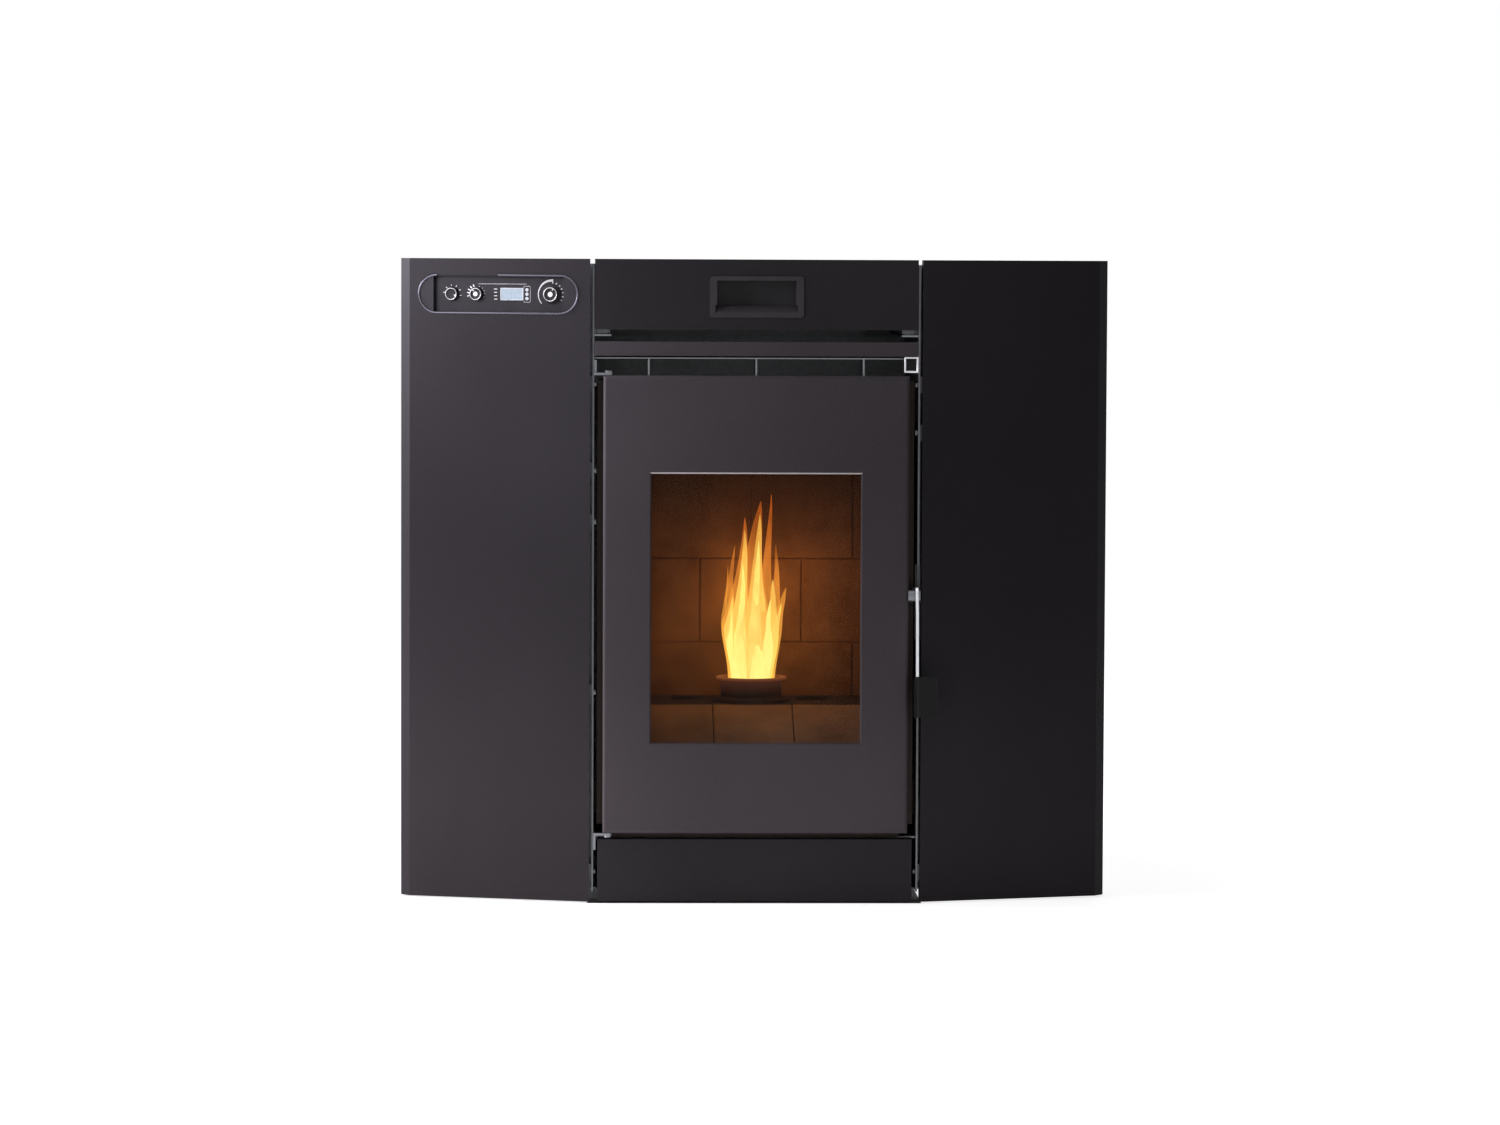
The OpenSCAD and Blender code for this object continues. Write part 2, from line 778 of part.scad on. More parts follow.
// Places of the posts that hold the glass retainers
post_places = [
    for (z = [window_z0 + 20, (window_z0 + window_z1) / 2, window_z1 - 20], x = [-post_x, post_x]) [x, z],
    for (z = [window_z0 - glass_lap - 6, window_z1 + glass_lap + 6], x = [-70, 70]) [x, z],
];

module door_frame() {
    rib_t = 3;
    channel = seal_w / 2 + 0.2;
    boss_r = hinge_inset;
    color(steel_dark) placed() difference() {
        union() {
            difference() {
                intersection() {
                    translate([0, 0, door_z0]) linear_extrude(door_h)
                        door_section(door_w, door_t, door_round);
                    translate([0, 0, (door_z0 + door_z1) / 2]) rotate([0, -90, 0])
                        linear_extrude(door_w, center = true) door_section(door_h, door_t, door_round);
                }
                wide_block(door_x - door_wall, plate_back, door_back + 1,
                    door_z0 + door_wall, door_z1 - door_wall);
            }
            door_ring(door_wall, seal_inset + channel + rib_t, door_back - 10, door_back - 7);
            door_ring(seal_inset - channel - rib_t, seal_inset - channel, door_back - 8, door_back);
            door_ring(seal_inset + channel, seal_inset + channel + rib_t, door_back - 8, door_back);
            for (place = post_places) rod_y(plate_back, glass_back, place[0], place[1], 4);
            rod_z(door_z0 + 1, door_z0 + hinge_pin_depth + 4, hinge_x, hinge_back, boss_r);
            rod_z(door_z1 - hinge_pin_depth - 4, door_z1 - 1, hinge_x, hinge_back, boss_r);
            block(door_x - 9, door_x - 1, plate_back, door_back, latch_z - 10, latch_z + 10);
        }
        window_cut();
        rod_z(door_z0 - 1, door_z0 + hinge_pin_depth + 1, hinge_x, hinge_back, hinge_pin_r + turn_fit);
        rod_z(door_z1 - hinge_pin_depth - 1, door_z1 + 1, hinge_x, hinge_back, hinge_pin_r + turn_fit);
        rod_x(door_x - 8, door_x + 1, hinge_back, latch_z, latch_pin_r);
        for (place = post_places) rod_y(glass_front, glass_back + 1, place[0], place[1], 1.5);
    }
}

module door_glass() {
    color([0.3, 0.3, 0.3, 0.4]) placed()
        wide_block(glass_x, glass_front, glass_back, window_z0 - glass_lap, window_z1 + glass_lap);
}

module glass_gasket() {
    lap = glass_lap - 1;
    color("#4a4846") placed() difference() {
        wide_block(window_w / 2 + lap, plate_back, glass_front, window_z0 - lap, window_z1 + lap);
        wide_block(window_w / 2 + 2, plate_back - 1, glass_front + 1, window_z0 - 2, window_z1 + 2);
    }
}

// Strips that clamp the glass from behind
module glass_retainers() {
    x0 = glass_x - 6;
    z0 = window_z0 - glass_lap;
    z1 = window_z1 + glass_lap;
    color(zinc) placed() difference() {
        union() {
            both_sides() block(x0, x0 + retainer_w, glass_back, glass_back + retainer_t, z0 + 8, z1 - 8);
            wide_block(x0 - 2, glass_back, glass_back + retainer_t, z0 - retainer_w + 6, z0 + 6);
            wide_block(x0 - 2, glass_back, glass_back + retainer_t, z1 - 6, z1 + retainer_w - 6);
        }
        for (place = post_places) {
            rod_y(glass_back - 1, glass_back + retainer_t + 1, place[0], place[1], 1.5);
        }
    }
}

module retainer_screws() {
    color(zinc) placed() for (place = post_places) {
        rod_y(glass_front + 0.5, glass_back + retainer_t, place[0], place[1], 1.5);
        rod_y(glass_back + retainer_t, glass_back + retainer_t + 2, place[0], place[1], 3.2);
    }
}

module door_rope_seal() {
    color("#55524e") placed()
        door_ring(seal_inset - seal_w / 2, seal_inset + seal_w / 2, door_back - 7, frame_y - slide_fit);
}

// Folded hinge tab; its leg lies on the inner wall
module hinge_bracket(z0, leg_z0, leg_z1) {
    leg_t = 3;
    difference() {
        union() {
            block(-wall_x0, -wall_x0 + leg_t, wall_front_y, wall_front_y + 18, leg_z0, leg_z1);
            block(-wall_x0, hinge_x, hinge_back - 6, hinge_back + 6, z0, z0 + hinge_tab_t);
            rod_z(z0, z0 + hinge_tab_t, hinge_x, hinge_back, 6);
        }
        rod_z(z0 - 1, z0 + hinge_tab_t + 1, hinge_x, hinge_back, hinge_pin_r);
    }
}

upper_tab_z = door_z1 + hinge_play;
lower_tab_z = door_z0 - hinge_play - hinge_tab_t;

module hinge_brackets() {
    color(zinc) placed() {
        hinge_bracket(upper_tab_z, upper_tab_z, upper_tab_z + 18);
        hinge_bracket(lower_tab_z, lower_tab_z - 18, lower_tab_z + hinge_tab_t);
    }
}

module hinge_pins() {
    head_t = 2.2;
    color(zinc) placed() {
        rod_z(door_z1 - hinge_pin_depth, upper_tab_z + hinge_tab_t, hinge_x, hinge_back, hinge_pin_r);
        rod_z(upper_tab_z + hinge_tab_t, upper_tab_z + hinge_tab_t + head_t, hinge_x, hinge_back, 5);
        rod_z(lower_tab_z, door_z0 + hinge_pin_depth, hinge_x, hinge_back, hinge_pin_r);
        rod_z(lower_tab_z - head_t, lower_tab_z, hinge_x, hinge_back, 5);
    }
}

// Shoulder bolt that carries the lever on the door's edge
module latch_pivot() {
    color(zinc) placed() {
        rod_x(door_x - 8, lever_x1 + 0.3, hinge_back, latch_z, latch_pin_r);
        rod_x(door_x, lever_x0 - 0.3, hinge_back, latch_z, latch_pin_r + 4);
        rod_x(lever_x1 + 0.3, lever_x1 + 0.3 + pivot_head_t, hinge_back, latch_z, latch_pin_r + 4);
    }
}

// Hook sector behind the pivot, in the lever's own plane
module hook_profile() {
    low_angle = -12;
    polygon(concat(
        arc(hook_r1, low_angle - 5, asin(hook_nose / hook_r1), 8),
        arc(hook_r0, asin(hook_nose / hook_r0), low_angle, 8),
        [[lever_hub_r * 0.9, 2], [lever_hub_r * 0.6, -lever_hub_r * 0.75]]
    ));
}

// Turns a piece drawn in the locked position to where the lever stands
module latch_turned() {
    translate([0, hinge_back, latch_z]) rotate([-latch_free, 0, 0])
        translate([0, -hinge_back, -latch_z]) children();
}

module latch_lever() {
    tail_z = grip_top - grip_socket;
    kink_z = latch_z - 20;
    half_arm = lever_arm_w / 2;
    color("#d6d6d8") placed() latch_turned() difference() {
        union() {
            rod_x(lever_x0, lever_x1, hinge_back, latch_z, lever_hub_r);
            along_x(lever_x0, lever_x1) translate([hinge_back, latch_z]) hook_profile();
            along_x(lever_x0, lever_x1) polygon([
                [lever_y - half_arm, tail_z], [lever_y + half_arm, tail_z], [lever_y + half_arm, kink_z],
                [hinge_back + 9, latch_z - 9], [hinge_back - 9, latch_z + 9], [lever_y - half_arm, kink_z],
            ]);
        }
        rod_x(lever_x0 - 1, lever_x1 + 1, hinge_back, latch_z, latch_pin_r + turn_fit);
    }
}

module latch_grip() {
    half_arm = lever_arm_w / 2;
    color("#1b1a1c") placed() latch_turned() difference() {
        translate([grip_x, grip_y, grip_top - grip_h]) rotate([0, 0, panel_angle])
            translate([grip_w / 2, -grip_d / 2, 0]) linear_extrude(grip_h)
                round_rect(grip_w, grip_d, grip_round);
        block(lever_x0, lever_x1, lever_y - half_arm, lever_y + half_arm,
            grip_top - grip_socket, grip_top + 1);
    }
}

// Pin on the frame's side that the hook closes behind
module latch_keeper() {
    y = hinge_back + keeper_reach;
    z = latch_z + keeper_lift;
    color(zinc) placed() {
        rod_x(frame_x - front_sheet, lever_x1 + 1, y, z, keeper_r);
        rod_x(frame_x - front_sheet - 3, frame_x - front_sheet, y, z, keeper_r + 3);
    }
}

module loading_drawer_front() {
    color(steel_dark) placed() difference() {
        union() {
            wide_block(drawer_x, 0, front_sheet, drawer_z0, overall_h);
            both_sides() block(drawer_x - front_sheet, drawer_x, 0, front_fold, drawer_z0, overall_h);
            wide_block(drawer_x, 0, front_fold, overall_h - front_sheet, overall_h);
            wide_block(drawer_x, 0, front_fold, drawer_z0, drawer_z0 + front_sheet);
        }
        along_y(-1, front_sheet + 1) translate([0, cup_z]) round_rect(cup_w - 4, cup_h - 4, 3);
    }
}

// Moulded finger recess: a frame on the drawer's face, a sloping sill and a lip to pull on
module handle_cup() {
    open_z = cup_z + cup_open_rise;
    open_z0 = open_z - cup_open_h / 2;
    rim_t = 1.2;
    color("#4b484d") placed() difference() {
        union() {
            along_y(-rim_t, 0) translate([0, cup_z]) round_rect(cup_w, cup_h, 4);
            along_y(-rim_t, cup_d) translate([0, cup_z]) round_rect(cup_w - 4, cup_h - 4, 3);
        }
        // Finger space, higher inside than its mouth
        wide_block(cup_open_w / 2, -rim_t - 1, cup_d - cup_wall, open_z0, open_z + cup_open_h / 2);
        wide_block(cup_open_w / 2, 6, cup_d - cup_wall, open_z0, cup_z + cup_h / 2 - 2 - cup_wall);
        // Sloping sill
        along_x(-cup_open_w / 2 - 2, cup_open_w / 2 + 2) polygon([
            [-rim_t - 1, open_z0 - 9], [-rim_t - 1, open_z0 + 1], [8, open_z0 + 1],
        ]);
    }
}

// Tray behind the loading drawer's front: its floor slopes to the open back, over the hopper
module loading_tray() {
    fall = 22;
    color(steel_plain) placed() {
        both_sides() difference() {
            union() {
                block(tray_x - tray_sheet, tray_x, front_sheet, tray_y1, runner_z0 + 3, tray_z1);
                block(tray_x, wall_x0 - 2 - slide_fit, front_fold + 6, tray_y1 - 16,
                    runner_z0 + 2 + slide_fit, runner_z0 + 12 - slide_fit);
            }
            block(tray_x - 5, tray_x + 1, front_sheet - 1, front_fold + 1,
                runner_z0, drawer_z0 + front_sheet);
        }
        wide_block(tray_x - tray_sheet, tray_y0, tray_y0 + tray_sheet, tray_floor_z + fall, tray_z1);
        along_x(-tray_x + tray_sheet, tray_x - tray_sheet) polygon([
            [tray_y0, tray_floor_z + fall], [tray_y1 + 12, tray_floor_z],
            [tray_y1 + 12, tray_floor_z + 2], [tray_y0, tray_floor_z + fall + 2],
        ]);
    }
}

// Channel runners on the inner walls; the long lower flange ends just behind the slot
module loading_runners() {
    y1 = jacket_y - 2;
    color(zinc) placed() both_sides() {
        block(wall_x0 - 2, wall_x0, front_fold + 6, y1, runner_z0, runner_z0 + 14);
        block(tray_x - 3, wall_x0, 6, y1, runner_z0, runner_z0 + 2);
        block(wall_x0 - 12, wall_x0, front_fold + 6, y1, runner_z0 + 12, runner_z0 + 14);
    }
}

module louvre_bar() {
    x = wall_x0 - 0.5;
    color(steel_dark) placed() {
        wide_block(x, 0, front_sheet, bar_z0, bar_z1);
        wide_block(x, 0, bar_d, bar_z1 - front_sheet, bar_z1);
        wide_block(x, 0, bar_d, bar_z0, bar_z0 + front_sheet);
        both_sides() block(x - front_sheet, x, 0, bar_d, bar_z0, bar_z1);
    }
}

// Square tab at the right-hand end of the warm air slot
module bar_bracket() {
    size = 17;
    color(zinc) placed() {
        block(wall_x0 - size, wall_x0, wall_front_y, wall_front_y + 1.5, bar_z0 - size - 2, bar_z0);
        block(wall_x0 - 1.5, wall_x0, wall_front_y, frame_y - slide_fit, bar_z0 - size - 2, bar_z0);
    }
}

module outlet_fins() {
    color(steel_plain) placed() for (x = [-127.5, 0, 127.5]) {
        block(x - 1, x + 1, frame_y, frame_y + 60, frame_z1 + 0.5, jacket_top_z);
    }
}

module ash_drawer_front() {
    x = inner_x - ash_side_gap;
    color(steel_dark) placed() {
        wide_block(x, 0, front_sheet, ash_gap, ash_z1);
        both_sides() block(x - front_sheet, x, 0, front_fold, ash_gap, ash_z1);
        wide_block(x, 0, front_fold, ash_z1 - front_sheet, ash_z1);
        wide_block(x, 0, front_fold, ash_gap, ash_gap + front_sheet);
    }
}

tray_w = 2 * (firebox_x - 7);
ash_tray_z1 = ash_z1 - 5;

module ash_tray() {
    wall = 1.5;
    y1 = firebox_y1 - 7;
    color(steel_plain) placed() difference() {
        wide_block(tray_w / 2, front_sheet, y1, case_z0 + slide_fit, ash_tray_z1);
        wide_block(tray_w / 2 - wall, front_fold, y1 - wall, case_z0 + slide_fit + wall, ash_tray_z1 + 1);
        wide_block(tray_w / 2 - wall, front_sheet + wall, front_fold - wall,
            case_z0 - 1, ash_tray_z1 - wall);
    }
}

// Frame that the door closes on, with the spacer blocks between its flanges and the inner walls
module front_frame() {
    y1 = flange_y1;
    spacer_h = 40;
    spacer_d = 14;
    color("#4d4640") placed() {
        difference() {
            union() {
                wide_block(frame_x, frame_y, frame_y + front_sheet, frame_z0, frame_z1);
                both_sides() block(frame_x - front_sheet, frame_x, frame_y, y1, frame_z0, frame_z1);
                wide_block(frame_x, frame_y, y1, frame_z1 - front_sheet, frame_z1);
            }
            wide_block(opening_x, frame_y - 1, frame_y + front_sheet + 1, opening_z0, opening_z1);
            rod_x(frame_x - front_sheet - 1, frame_x + 1,
                hinge_back + keeper_reach, latch_z + keeper_lift, keeper_r);
        }
        both_sides() for (z = [frame_z0 + 10, frame_z1 - spacer_h - 10]) {
            block(frame_x + turn_fit, wall_x0, y1 - spacer_d, y1, z, z + spacer_h);
        }
    }
}

// Outer prism of the sloping chute, grown by a margin
module chute_prism(margin) {
    drop = chute_y1 - chute_end_y;
    along_x(-chute_w / 2 - margin, chute_w / 2 + margin) polygon([
        [chute_y0, chute_top_z + margin], [chute_y1, chute_top_z - margin],
        [chute_end_y, chute_top_z - drop - margin],
        [chute_end_y, chute_top_z - drop + chute_y1 - chute_y0 + margin],
    ]);
}

module firebox_shell() {
    lip = opening_inset + 5;
    fire_z0 = firebox_z0 + firebox_plate;
    color("#3f3a37") placed() {
        difference() {
            wide_block(firebox_x, firebox_y0, firebox_y1, firebox_z0, firebox_z1);
            wide_block(firebox_in_x, firebox_y0 + firebox_plate, firebox_y1 - firebox_plate,
                fire_z0, firebox_z1 - firebox_plate);
            wide_block(opening_x + 2, firebox_y0 - 1, firebox_y0 + 10, door_z0 + lip, opening_z1 + 2);
            wide_block(ash_hole_x, ash_hole_y0, ash_hole_y1, firebox_z0 - 1, fire_z0 + 1);
            chute_prism(0.5);
            rod_y(fireback_y, firebox_y1 + 1, 0, igniter_z, igniter_r + 1);
            rod_y(fireback_y, firebox_y1 + 1, 0, intake_z, intake_r);
            block(stub_x0 + 2, stub_x1 - 2, fireback_y, firebox_y1 + 1, stub_z0 + 2, stub_z1 - 2);
        }
        hearth_cheeks();
    }
}

hearth_slope = hearth_drop / (shelf_y - hearth_front_y);

// Cheeks on the firebox's sides that carry the hearth and the pot shelf
module hearth_cheeks() {
    foot_z = firebox_z0 + firebox_plate - 1;
    both_sides() along_x(firebox_in_x - 3, firebox_in_x + 1) polygon([
        [hearth_front_y, foot_z], [firebox_y1 - firebox_plate - 4, foot_z],
        [firebox_y1 - firebox_plate - 4, shelf_z - shelf_t], [shelf_y, shelf_z - shelf_t],
        [shelf_y, shelf_z - tile_t], [hearth_front_y, shelf_z - hearth_drop - tile_t],
    ]);
}

// Three sloping tiles between the door and the pot shelf
module hearth_tiles() {
    tile_edge = 47.5;
    profile = [
        [hearth_front_y, shelf_z - hearth_drop - tile_t],
        [shelf_y - 0.5, shelf_z - tile_t - 0.5 * hearth_slope],
        [shelf_y - 0.5, shelf_z - 0.5 * hearth_slope], [hearth_front_y, shelf_z - hearth_drop],
    ];
    color("#a08a76") placed() {
        along_x(-tile_edge, tile_edge) polygon(profile);
        both_sides() along_x(tile_edge + tile_joint, firebox_in_x - 0.5) polygon(profile);
    }
}

// Cast shelf round the pot, with the air chamber under it and two ash slots
module pot_shelf() {
    y1 = firebox_y1 - firebox_plate - 0.5;
    chamber_z0 = intake_z - intake_r - 8;
    color("#2c2a2a") placed() difference() {
        union() {
            wide_block(firebox_in_x - 0.5, shelf_y, y1, shelf_z - shelf_t, shelf_z);
            rod_z(chamber_z0, shelf_z - 1, 0, pot_y, chamber_r);
            for (x = [-110, 110]) block(x - 3, x + 3, shelf_y, y1, shelf_z - shelf_t - 8, shelf_z - 1);
        }
        rod_z(chamber_z0 + 4, shelf_z - shelf_t, 0, pot_y, chamber_r - 4);
        rod_z(shelf_z - shelf_t - 1, shelf_z + 1, 0, pot_y, pot_seat_r);
        rod_y(pot_y, y1 + 1, 0, intake_z, intake_r);
        for (x = [-76, 76]) {
            block(x - 20, x + 20, pot_y + 10, pot_y + 62, shelf_z - shelf_t - 9, shelf_z + 1);
        }
    }
}

module burn_pot() {
    seat = shelf_z + slide_fit;
    rim_z = shelf_z + pot_rise;
    low_z = shelf_z - pot_depth;
    low_r = pot_body_r - 5;
    color("#4a3f3a") placed() difference() {
        translate([0, pot_y, 0]) rotate_extrude() polygon([
            [0, low_z], [low_r, low_z], [pot_body_r, seat - 3], [pot_body_r, seat], [pot_body_r + 12, seat],
            [pot_body_r + 12, seat + 4], [pot_body_r + 1, seat + 6],
            [pot_body_r + 2, rim_z - 4], [pot_rim_r, rim_z - 3],
            [pot_rim_r, rim_z], [pot_rim_r - pot_wall - 2, rim_z], [pot_body_r - pot_wall + 2, rim_z - 8],
            [pot_body_r - pot_wall, seat], [low_r - pot_wall, low_z + 5], [0, low_z + 5],
        ]);
        for (ring = [[0, 1], [10, 6], [20, 12]], i = [0 : ring[1] - 1]) {
            a = i * 360 / ring[1];
            rod_z(low_z - 1, low_z + 6, ring[0] * cos(a), pot_y + ring[0] * sin(a), 2.2);
        }
        rod_y(pot_y, pot_y + pot_rim_r, 0, igniter_z, igniter_r + 1);
    }
}

module side_liners() {
    y0 = firebox_y0 + 14;
    slope_z = shelf_z - (shelf_y - y0) * hearth_slope;
    color("#8f8577") placed() both_sides() along_x(liner_x - liner_t, liner_x) polygon([
        [y0, slope_z + 0.1], [shelf_y, shelf_z + 0.1], [fireback_y, shelf_z + 0.1],
        [fireback_y, liner_top], [y0, liner_top],
    ]);
}

// Brick-pattern panel at the back of the fire, in staggered courses
module fireback() {
    groove = 2.5;
    groove_d = 2;
    courses = ceil((liner_top - shelf_z) / brick_h);
    color("#8f8577") placed() difference() {
        wide_block(liner_x, fireback_y, fireback_y + liner_t + 2, shelf_z, liner_top);
        for (c = [0 : courses - 1]) {
            z = shelf_z + (c + 0.62) * brick_h;
            wide_block(liner_x + 1, fireback_y - 1, fireback_y + groove_d, z, z + groove);
            for (x = [-2 : 2]) {
                x0 = (x + (c % 2) / 2) * brick_l;
                block(x0, x0 + groove, fireback_y - 1, fireback_y + groove_d, z - brick_h, z);
            }
        }
        chute_prism(0.5);
        rod_y(fireback_y - 1, fireback_y + liner_t + 3, 0, igniter_z, igniter_r + 1);
    }
}

module baffle_plate() {
    color("#8f8577") placed() difference() {
        wide_block(liner_x, firebox_y0 + 54, fireback_y + liner_t + 1, liner_top, liner_top + 12);
        for (x = [-100, 100]) rod_z(liner_top - 1, liner_top + 13, x, firebox_y0 + 74, 6);
    }
}

module igniter() {
    y0 = pot_y + pot_body_r + 14;
    color("#c9c4b8") placed() {
        rod_y(y0, jacket_y + 34, 0, igniter_z, igniter_r);
        rod_y(jacket_y + wall_sheet, jacket_y + wall_sheet + 4, 0, igniter_z, igniter_r + 8);
    }
}

module air_intake_pipe() {
    y0 = pot_y + sqrt(pow(chamber_r - 2, 2) - pow(intake_r, 2));
    y1 = case_d + collar_l + 27;
    color(zinc) placed() difference() {
        union() {
            rod_y(y0, y1, 0, intake_z, intake_r);
            rod_y(case_d, case_d + collar_l, 0, intake_z, intake_r + 6);
        }
        rod_y(y0 - 1, y1 + 1, 0, intake_z, intake_r - 2);
    }
}

// Side walls of the middle section; the right one is notched for the latch
module inner_walls() {
    wall_y1 = jacket_y + wall_sheet;
    color(steel_plain) placed() difference() {
        union() {
            both_sides() block(wall_x0, wall_x1, wall_front_y, wall_y1, case_z0, case_z1 - case_sheet);
            spacer_tabs(right_spacers);
            mirror([1, 0, 0]) spacer_tabs(left_spacers);
        }
        block(wall_x0 - 1, wall_x1 + 1, wall_front_y - 1, flange_y1 + 2, latch_z - 56, latch_z + 36);
        screw_holes(right_spacers, 1);
        screw_holes(left_spacers, -1);
    }
}

// Shelf under the firebox, plate behind it and plate above it: the warm air rises between
module air_jacket() {
    shelf_y0 = firebox_y0 + 8;
    color(steel_plain) placed() difference() {
        union() {
            wide_block(wall_x0, jacket_y, jacket_y + wall_sheet, ash_z1 - 1, jacket_back_top);
            wide_block(wall_x0, shelf_y0, jacket_y + 1, firebox_z0 - wall_sheet, firebox_z0);
            wide_block(wall_x0, frame_y, jacket_y + 1, jacket_top_z, jacket_top_z + 1.5);
        }
        wide_block(ash_hole_x, ash_hole_y0, ash_hole_y1, firebox_z0 - 5, firebox_z0 + 1);
        chute_prism(0.5);
        rod_y(firebox_y1, jacket_y + 5, 0, igniter_z, igniter_r);
        rod_y(firebox_y1, jacket_y + 5, 0, intake_z, intake_r);
        block(stub_x0, stub_x1, firebox_y1, jacket_y + 5, stub_z0, stub_z1);
        block(fan_x0, fan_x1, firebox_y1, jacket_y + 5, fan_mouth_z0, fan_mouth_z0 + fan_mouth_h);
    }
}

foot_places = [for (x = [-case_x + 40, case_x - 40], y = [case_front_y + 44, case_d - 40]) [x, y]];

module base_pan() {
    tongue_x = wall_x0 - 4;
    channel_y = [case_front_y + 90, case_d - 110];
    color(steel_plain) placed() difference() {
        union() {
            translate([0, 0, base_h]) linear_extrude(case_sheet) polygon([
                [-tongue_x, front_fold + 2], [tongue_x, front_fold + 2],
                [tongue_x, case_front_y], [case_x, case_front_y], [case_x, case_d],
                [-case_x, case_d], [-case_x, case_front_y], [-tongue_x, case_front_y],
            ]);
            // Stiffening channels under the pan
            for (y = channel_y) wide_block(case_x - 20, y, y + 30, base_h - 6, base_h + 1);
            // Guides on either side of the ash tray
            both_sides()
                block(tray_w / 2 + 0.5, tray_w / 2 + 2.5, 30, firebox_y1 - 12, case_z0 - 1, case_z0 + 20);
        }
        for (y = channel_y) wide_block(case_x - 22, y + 2, y + 28, base_h - 7, base_h);
        for (place = foot_places) rod_z(base_h - 1, case_z0 + 1, place[0], place[1], 4);
        for (x = [-fixing_x, fixing_x], y = fixing_y) rod_z(base_h - 1, case_z0 + 1, x, y, fixing_r);
    }
}

module levelling_feet() {
    color("#6c6e70") placed() for (place = foot_places) {
        rod_z(0, 5, place[0], place[1], foot_r);
        rod_z(5, case_z0 + 16, place[0], place[1], 4);
        rod_z(base_h - 4, base_h, place[0], place[1], 7);
        translate([place[0], place[1], case_z0]) cylinder(h = 5, r = 8, $fn = 6);
    }
}

module casing_sides() {
    flange_z0 = overall_h - bezel_drop - bezel_h / 2 - 12;
    vent_z0 = case_z1 - 199;
    color(steel_plain) placed() difference() {
        both_sides() {
            block(case_x - case_sheet, case_x, case_front_y, case_inner_y, case_z0, case_z1 - case_sheet);
            block(wall_x1, case_x, case_front_y, case_front_y + case_sheet, case_z0, case_z1 - case_sheet);
        }
        block(-case_x - 1, -wall_x1 - 8, case_front_y - 1, case_front_y + 20, flange_z0, case_z1 - 8);
        for (i = [0 : 7]) wide_block(case_x + 1, 150, 330, vent_z0 + 14 * i, vent_z0 + 5 + 14 * i);
    }
}

module casing_back() {
    slots = 9;
    color(steel_plain) placed() difference() {
        wide_block(case_x, case_inner_y, case_d, case_z0, case_z1 - case_sheet);
        rod_y(case_inner_y - 1, case_d + 1, flue_x, flue_z, flue_r);
        rod_y(case_inner_y - 1, case_d + 1, 0, intake_z, intake_r);
        for (i = [0 : slots - 1]) {
            block(-150, 90, case_inner_y - 1, case_d + 1, 34 + 9 * i, 38 + 9 * i);
        }
        along_y(case_inner_y - 1, case_d + 1) translate([inlet_x, inlet_z])
            square([inlet_w, inlet_h], center = true);
    }
}

module casing_top() {
    color(steel_plain) placed() difference() {
        translate([0, 0, case_z1 - case_sheet]) linear_extrude(case_sheet) polygon([
            [-wall_x1, front_fold + 6], [wall_x1, front_fold + 6],
            [wall_x1, case_front_y], [case_x, case_front_y], [case_x, case_d],
            [-case_x, case_d], [-case_x, case_front_y], [-wall_x1, case_front_y],
        ]);
        for (i = [0 : 7], x = [-1, 1]) {
            translate([x * (wall_x1 + case_x - 2) / 2, 160 + 24 * i, case_z1])
                cube([case_x - wall_x1 - 40, 8, 10], center = true);
        }
    }
}

hopper_front = [
    [hopper_x0, hopper_z1], [hopper_x1, hopper_z1], [hopper_x1, hopper_lip_z],
    [throat_x1, hopper_z0], [hopper_x0, hopper_z0],
];
hopper_side = [
    [hopper_y0, hopper_z1], [hopper_y1, hopper_z1], [hopper_y1, hopper_back_z],
    [throat_y1, hopper_z0], [throat_y0, hopper_z0], [hopper_y0, hopper_front_z],
];

module hopper() {
    color(steel_plain) placed() {
        difference() {
            intersection() {
                along_y(hopper_y0, hopper_y1) polygon(hopper_front);
                along_x(hopper_x0, hopper_x1) polygon(hopper_side);
            }
            intersection() {
                along_y(hopper_y0 + 1, hopper_y1 - 1) polygon([
                    [hopper_x0 + hopper_sheet, hopper_z1 + 1], [hopper_x1 - hopper_sheet, hopper_z1 + 1],
                    [hopper_x1 - hopper_sheet, hopper_lip_z + 1], [throat_x1 - hopper_sheet, hopper_z0 + 0.5],
                    [throat_x1 - hopper_sheet, hopper_z0 - 1], [hopper_x0 + hopper_sheet, hopper_z0 - 1],
                ]);
                along_x(hopper_x0 + 1, hopper_x1 - 1) polygon([
                    [hopper_y0 + hopper_sheet, hopper_z1 + 1], [hopper_y1 - hopper_sheet, hopper_z1 + 1],
                    [hopper_y1 - hopper_sheet, hopper_back_z + 1],
                    [throat_y1 - hopper_sheet, hopper_z0 + 0.8], [throat_y1 - hopper_sheet, hopper_z0 - 1],
                    [throat_y0 + hopper_sheet, hopper_z0 - 1], [throat_y0 + hopper_sheet, hopper_z0 + 0.8],
                    [hopper_y0 + hopper_sheet, hopper_front_z + 1],
                ]);
            }
        }
        block(hopper_x0, hopper_x1, hopper_y1 - 1, case_inner_y, hopper_z1 - 6, hopper_z1 - 4);
        block(-60, 60, jacket_y + wall_sheet, hopper_y0 + 1, jacket_back_top - 12, jacket_back_top - 10);
    }
}

